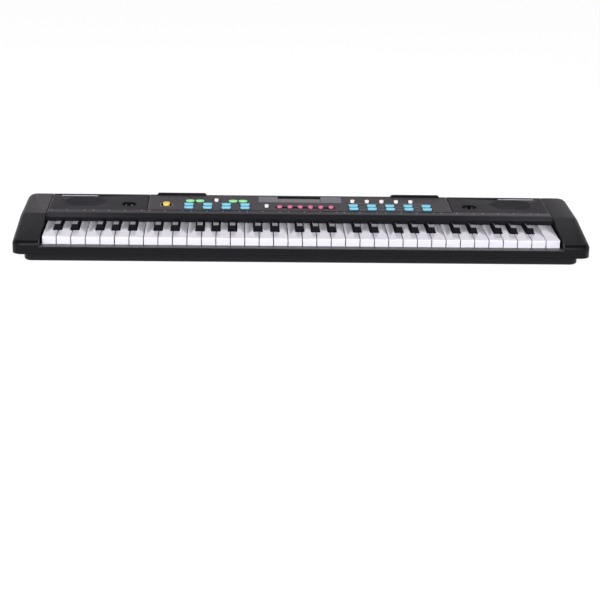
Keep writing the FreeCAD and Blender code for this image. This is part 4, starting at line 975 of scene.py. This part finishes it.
class KEYBOARD_OT_door(Operator):
    """Makes the battery door and its latch screw"""

    bl_idname = "keyboard.door"
    bl_label = "Battery door"

    # The door's own solid lies below this height, and its screw above
    SCREW_FOOT = 3

    def execute(self, context):
        screw = lambda middle: middle.z > self.SCREW_FOOT
        plastic = moulded("door_plastic", tone("pan"), 0.40, gloss=0.35, deep=0.01).material
        softened("door", "battery_door", plastic, 0.2 * MM, keep=lambda middle: not screw(middle))
        slotted("latch_screw", "battery_door", keep=screw)
        return {"FINISHED"}


class KEYBOARD_OT_panels(Operator):
    """Makes the control panel and the two speaker panels"""

    bl_idname = "keyboard.panels"
    bl_label = "Panels"

    def execute(self, context):
        controls = moulded("panel_plastic", tone("panel"), 0.58, gloss=0.10, grain=0.4)
        softened("controls_plate", "control_panel", controls.material, sizes().panel_edge)
        speaker = moulded("speaker_panel_plastic", tone("speaker_panel"), 0.5, gloss=0.10,
                          grain=0.6, deep=0.03)
        plates = link("speaker_plates", merged("speaker_panels", whole=False), speaker.material)
        smooth(plates.data)
        stand_for(plates, "speaker_panels")
        return {"FINISHED"}


class KEYBOARD_OT_display(Operator):
    """Makes the display's window, its two plates and a black block of painted shade at its rear"""

    bl_idname = "keyboard.display"
    bl_label = "Display"

    # Half the gap between the window and a plate
    GAP = 0.05

    def execute(self, context):
        left, right = LENS_SIDES
        self.part("display_lens", window_plastic(), [(left, -1), (right, 1)])
        grey = moulded("plate_plastic", tone("plate"), 0.42, gloss=0.4, grain=0.4).material
        self.part("display_plate_left", grey, [(left, 1)])
        self.part("display_plate_right", grey, [(right, -1)])
        # A black block that paints the shade of the window's rear wall
        front, rear, foot, top = DISPLAY_SHADE
        shade_block = slab("display_gasket", [(left, front, right, rear, 0)], foot, top,
                      ink_and_painted_light("gasket_rubber", tone("surround"), 0.0))
        added(shade_block)
        return {"FINISHED"}

    def part(self, name, plastic, cuts):
        """Keeps what the cuts leave: each takes away what lies beyond an upright plane."""
        form = merged("display_window")
        for x, way in cuts:
            cut = bmesh.ops.bisect_plane(
                form, geom=[*form.verts, *form.edges, *form.faces], clear_outer=True,
                plane_co=((x - way * self.GAP) * MM, 0, 0), plane_no=(way, 0, 0))
            bmesh.ops.contextual_create(form, geom=of_kind(cut["geom_cut"], bmesh.types.BMEdge))
        bmesh.ops.recalc_face_normals(form, faces=form.faces)
        stand_for(soften(link(name, form, plastic), 0.2 * MM), "display_window")


class KEYBOARD_OT_white_keys(Operator):
    """Makes the white keys, each on its own hinge"""

    bl_idname = "keyboard.white_keys"
    bl_label = "White keys"

    def execute(self, context):
        plastic = key_plastic("white_key_plastic", tone("white_key"), 0.07, 0.5)
        for node in sorted(frame["nodes"]):
            if node.startswith("white_key"):
                softened(node.replace("white_key", "white"), node, plastic, sizes().white_edge)
        return {"FINISHED"}


class KEYBOARD_OT_black_keys(Operator):
    """Makes the black keys, one comb for each octave"""

    bl_idname = "keyboard.black_keys"
    bl_label = "Black keys"

    # Faces that look sideways or forwards at least this squarely are satin, and painted paler than
    # the tops
    SQUARELY = 0.8

    def execute(self, context):
        base = tone("black_key")
        polished = key_plastic("black_key_plastic", base, 0.05, 1.0, IOR=1.65)
        # Sides and fronts get a colour painted paler than the tops', as painted light
        satin = moulded("black_key_sides", shade(base, 3.4), 0.55, gloss=0.03, deep=0.03, IOR=1.2)
        for node in sorted(frame["nodes"]):
            if node.startswith("black_keys"):
                keys = softened(node.replace("black_keys", "blacks"), node, polished,
                                sizes().black_edge)
                keys.data.materials.append(satin.material)
                for face in keys.data.polygons:
                    face.material_index = int(abs(face.normal.x) > self.SQUARELY
                                              or face.normal.y < -self.SQUARELY)
        return {"FINISHED"}


class KEYBOARD_OT_buttons(Operator):
    """Makes the coloured buttons with rounded tops and black rims of painted shade round them"""

    bl_idname = "keyboard.buttons"
    bl_label = "Buttons"

    # Each node's colour, rounding, gloss and glow, an emission that paints extra light on the caps
    GROUPS = {
        "power_button": ("yellow", "pad_edge", 0.2, 0.12),
        "green_buttons": ("green", "pad_edge", 0.6, 0.10),
        "blue_buttons_left": ("blue", "pad_edge", 0.5, 0.04),
        "blue_buttons_right": ("blue", "pad_edge", 0.5, 0.04),
        "white_buttons": ("white", "knob_edge", 1.0, 0.16),
        "pink_buttons": ("pink", "knob_edge", 0.4, 0.0),
    }
    # Black tablet of painted shade in the slot that the pink buttons share: its length past theirs,
    # its width and its corner
    PINK_SLOT_SHADE = (12, 5.6, 0.6)
    # The seat of the yellow button past its cap: along x and along y
    SEAT = (2.9, 3.8)
    # The pale ring: its outer and inner edge past the seat, and its foot and top over the deck
    RING = (0.9, 0.1, -0.05, 0.12)
    # The seat's black floor of painted shade: its edge past the seat, its foot and top over the
    # deck
    SEAT_SHADE = (-0.3, -0.2, 0.03)

    def execute(self, context):
        for node, (tint, edge, gloss, glow) in self.GROUPS.items():
            plastic = button_plastic(f"{tint}_button_plastic", tone(tint), gloss, glow)
            softened(f"{node}_caps", node, plastic, getattr(sizes(), edge), steps=4)
        black = ink_and_painted_light("surround_ink", tone("surround"), 0.0)
        self.shade_surrounds(black)
        self.ring(black, tops("power_button")[0])
        return {"FINISHED"}

    def shade_surrounds(self, black):
        """Black rims of painted shade round each button but the yellow, and in the pinks' slot."""
        form = tablet_form(black)
        margin, thick = sizes().surround, sizes().ink_thick
        # Painted shade: a black rim round each button
        for node in list(self.GROUPS)[1:]:
            caps = tops(node)
            wide, long = (max(cap[side] for cap in caps) * MM + 2 * margin for side in (2, 3))
            place = points(f"{node}_surrounds", [(x, y, DECK) for x, y, w, d in caps], black)
            form.run(place, Width=wide, Length=long, Corner=long / 2, Thickness=thick)
            added(place)
        pinks = tops("pink_buttons")
        left, right = (end(cap[0] for cap in pinks) for end in (min, max))
        past, wide, corner = self.PINK_SLOT_SHADE
        slot = points("pink_slot", [((left + right) / 2, pinks[0][1], DECK)], black)
        form.run(slot, Width=(right - left + past) * MM, Length=wide * MM, Corner=corner * MM,
                 Thickness=1.5 * thick)
        added(slot)

    def ring(self, black, cap):
        """Thin pale ring round the yellow button's sunk seat, whose black floor is painted shade.
        """
        x, y, wide, long = cap
        wide, long = wide / 2 + self.SEAT[0], long / 2 + self.SEAT[1]
        pale = ink_and_painted_light("ring_ink", tone("mark"))

        def oval(name, grow, low, high, dye):
            area = (x - wide - grow, y - long - grow, x + wide + grow, y + long + grow, wide + grow)
            return slab(name, [area], DECK + low, DECK + high, dye)

        outer, inner, foot, top = self.RING
        ring = oval("power_ring", outer, foot, top, pale)
        boolean(ring, oval("power_ring_hole", inner, -1, 1, pale), "DIFFERENCE")
        added(ring)
        added(oval("power_seat", *self.SEAT_SHADE, black))


class KEYBOARD_OT_marks(Operator):
    """Prints ticks over the keys, dashes by the buttons, thin lines of ink and of painted light"""

    bl_idname = "keyboard.marks"
    bl_label = "Marks"

    # Ticks of one octave from its first key's left edge, the octaves, and the ticks' y and size
    TICKS, OCTAVES = (3.4, 24.5, 48.3, 60.5, 81.6, 103.3, 126.5), 5
    TICK_Y, TICK_SIZE = 14.9, (1.5, 4.6)
    # Labels of the right-hand white buttons: from which x, y and length
    WHITE_LABELS = (70, 74.6, 5.5)
    # Labels at the panel's left end: first x, step, y, stagger, length and count
    LEFT_LABELS = (-196, 9.5, 80.5, 1.4, 6.5, 5)
    # Labels of the green buttons: distance in front of them, and length
    GREEN_LABELS = (9.4, 4.5)
    # Lines between the rows on the right: their middle, length and y of each
    ROW_X, ROW_LONG, ROWS = 126.5, 103, (59.8, 44.4, 30.0)
    # Dark line of painted shade in the gap before the control panel: length, width
    # and distance behind the strip
    FRONT_LINE = (419, 2.2, 0.4)
    # Upright lines of painted highlight on the grooves beside the panels: the outer pair's distance
    # from the bay's ends, the inner pair's x, and the gaps to the crease, the strip and the rear
    # edge
    GROOVE_END, GROOVE_INNER, GROOVE_GAPS = 1.3, 208.6, (4, 1, 1.5)

    def execute(self, context):
        pale, (short, tall) = tone("mark"), self.TICK_SIZE
        octave = 7 * KEY_PITCH
        ticks = [turn * octave + tick for turn in range(self.OCTAVES) for tick in self.TICKS]
        ticks.append(self.OCTAVES * octave + self.TICKS[0])
        self.dashes("key_ticks", ink_and_painted_light("tick_ink", shade(pale, 0.75)),
                    [(KEYS_LEFT + tick, self.TICK_Y, short) for tick in ticks], tall * MM)
        least, across, long = self.WHITE_LABELS
        labels = [(x, across, long) for x, y, w, d in tops("white_buttons") if x > least]
        first, step, across, stagger, long, count = self.LEFT_LABELS
        labels += [(first + step * place, across - stagger * (place % 2), long)
                   for place in range(count)]
        before, long = self.GREEN_LABELS
        labels += [(x, y - before, long) for x, y, w, d in tops("green_buttons")]
        self.dashes("button_labels", ink_and_painted_light("label_ink", shade(pale, 0.55)), labels, 1.5 * MM)
        self.dashes("button_lines", ink_and_painted_light("line_ink", shade(pale, 0.75)),
                    [(self.ROW_X, y, self.ROW_LONG) for y in self.ROWS], sizes().line)
        long, wide, behind = self.FRONT_LINE
        self.dashes("panel_front_line", ink_and_painted_light("front_line_ink", tone("surround"), 0.0),
                    [(0, STRIP_REAR + behind, long)], wide * MM, "case_black")
        self.upright("groove_lines", ink_and_painted_light("groove_ink", shade(pale, 0.62)))
        return {"FINISHED"}

    def dashes(self, name, dye, rows, width, slot="trim_silver"):
        """Dashes along the keyboard: the middle and the length of each."""
        seeds = points(name, [(x, y, DECK) for x, y, long in rows], dye,
                       long=[long for x, y, long in rows])
        dash_form(dye).run(seeds, Width=width, Thickness=2 * sizes().ink_thick)
        added(seeds)

    def upright(self, name, dye):
        """Pale lines of painted highlight on the side grooves, from the crease to the rear edge."""
        half, end = sizes().line / 3 / MM, BAY_HALF - self.GROOVE_END
        crease, strip, rear = self.GROOVE_GAPS
        starts = [(side * x, front) for side in (-1, 1) for x, front in
                  ((end, CREASE_Y + crease), (self.GROOVE_INNER, STRIP_REAR + strip))]
        lines = [(x - half, front, x + half, REAR_Y - rear, 0) for x, front in starts]
        added(slab(name, lines, DECK - 0.05, DECK + sizes().ink_thick / MM, dye))


class KEYBOARD_OT_felt(Operator):
    """Makes the black felt strip at the fallboard's foot, which also paints the shade under it"""

    bl_idname = "keyboard.felt"
    bl_label = "Felt strip"

    # The strip's section from its foot to its top, y and z, and its gap to the bay's ends
    SECTION = ((-7.95, 32.3), (-7.75, 32.3), (-5.2, 36.9), (-5.4, 37.0), (-7.95, 32.6))
    END_GAP = 0.4

    def execute(self, context):
        half = BAY_HALF - self.END_GAP
        form = bmesh.new()
        left, right = ([form.verts.new(Vector((side * half, y, z)) * MM) for y, z in self.SECTION]
                       for side in (-1, 1))
        form.faces.new(left)
        form.faces.new(reversed(right))
        for place in range(len(self.SECTION)):
            after = (place + 1) % len(self.SECTION)
            form.faces.new((left[place], right[place], right[after], left[after]))
        bmesh.ops.recalc_face_normals(form, faces=form.faces)
        # Black felt that also paints the deep shade under the fallboard
        felt = speckled("black_felt", (0.007, 0.007, 0.009), (0.020, 0.019, 0.024),
                        (0.8, 5, 0.75, (0.4, 1, 1)), 0.9, 0.1, 0.12, Specular_IOR_Level=0.02,
                        Sheen_Weight=0.02)
        added(link("felt_strip", form, felt))
        return {"FINISHED"}


class KEYBOARD_OT_trim(Operator):
    """Makes the silver bars, brushed along their length, and the two round ports with pins"""

    bl_idname = "keyboard.trim"
    bl_label = "Trim"

    # The ports lie before this y, and the bars behind it
    BARS_FRONT = 80

    def execute(self, context):
        bar = lambda place: place.y > self.BARS_FRONT
        base = tone("silver")
        foil = speckled("silver_trim", shade(base, 0.9), shade(base, 1.1),
                        (0.5, 3, 0.6, (0.02, 1, 1)), 0.42, 0.12, 0.004, Metallic=0.3)
        softened("silver_bars", "panel_trim", foil, sizes().trim_edge, keep=bar)
        softened("round_ports", "panel_trim", port_plastic(), sizes().trim_edge,
                 keep=lambda place: not bar(place), whole=False)
        self.pins(steel("pin_steel_finish", tone("steel")))
        return {"FINISHED"}

    def pins(self, metal):
        """Bright pins with rounded tips on the short pins of the CAD ports."""
        apart, radius, foot, tip = PORT_PIN
        x, y = PORT_MIDDLE
        areas = [(side * x + way * apart - radius, y - radius, side * x + way * apart + radius,
                  y + radius, radius) for side in (-1, 1) for way in (-1, 1)]
        pins = slab("port_pins", areas, foot, tip, metal)
        added(settle(soften(pins, 0.5 * MM)))


class KEYBOARD_OT_screws(Operator):
    """Makes the case screws with cross slots"""

    bl_idname = "keyboard.screws"
    bl_label = "Screws"

    def execute(self, context):
        slotted("screws", "case_screws")
        return {"FINISHED"}


class KEYBOARD_OT_inside(Operator):
    """Gives the parts inside their finishes"""

    bl_idname = "keyboard.inside"
    bl_label = "Parts inside"

    def execute(self, context):
        dress("circuit_boards", circuit_board())
        base = tone("rubber")
        dress("rubber_contacts", speckled(
            "dull_rubber", shade(base, 0.8), shade(base, 1.2), (1.2, 4, 0.7), 0.75, 0.15, 0.02,
            Specular_IOR_Level=0.25))
        dress("battery_contacts", steel("contact_steel_finish", tone("steel")))
        # Pressed-paper cones in dark baskets
        dress("loudspeakers", speckled(
            "loudspeaker", (0.012, 0.012, 0.013), (0.03, 0.03, 0.032), (0.7, 4, 0.7), 0.62, 0.2,
            0.03, Specular_IOR_Level=0.4))
        dress("key_frame", moulded("frame_plastic", (0.05, 0.05, 0.05), 0.55).material)
        return {"FINISHED"}


OPERATORS = (KEYBOARD_OT_stage, KEYBOARD_OT_case, KEYBOARD_OT_pan, KEYBOARD_OT_door,
             KEYBOARD_OT_panels, KEYBOARD_OT_display, KEYBOARD_OT_white_keys,
             KEYBOARD_OT_black_keys, KEYBOARD_OT_buttons, KEYBOARD_OT_marks, KEYBOARD_OT_felt,
             KEYBOARD_OT_trim, KEYBOARD_OT_screws, KEYBOARD_OT_inside)


class KEYBOARD_PT_sidebar(Panel):
    """Lists the keyboard's pieces in the order in which they are made"""

    bl_idname = "KEYBOARD_PT_sidebar"
    bl_label = "Electronic Keyboard"
    bl_space_type = "VIEW_3D"
    bl_region_type = "UI"
    bl_category = "Keyboard"

    def draw(self, context):
        for operator in OPERATORS:
            self.layout.operator(operator.bl_idname)


GROUPS = {"keyboard_sizes": KeyboardSizes, "keyboard_colours": KeyboardColours,
          "keyboard_stage": KeyboardStage}
CLASSES = (*GROUPS.values(), *OPERATORS, KEYBOARD_PT_sidebar)


def register():
    for item in CLASSES:
        bpy.utils.register_class(item)
    for name, group in GROUPS.items():
        setattr(bpy.types.Scene, name, PointerProperty(type=group))


def unregister():
    for name in GROUPS:
        delattr(bpy.types.Scene, name)
    for item in reversed(CLASSES):
        bpy.utils.unregister_class(item)


def main():
    register()
    for operator in OPERATORS:
        group, name = operator.bl_idname.split(".")
        getattr(getattr(bpy.ops, group), name)()


if __name__ == "__main__":
    main()
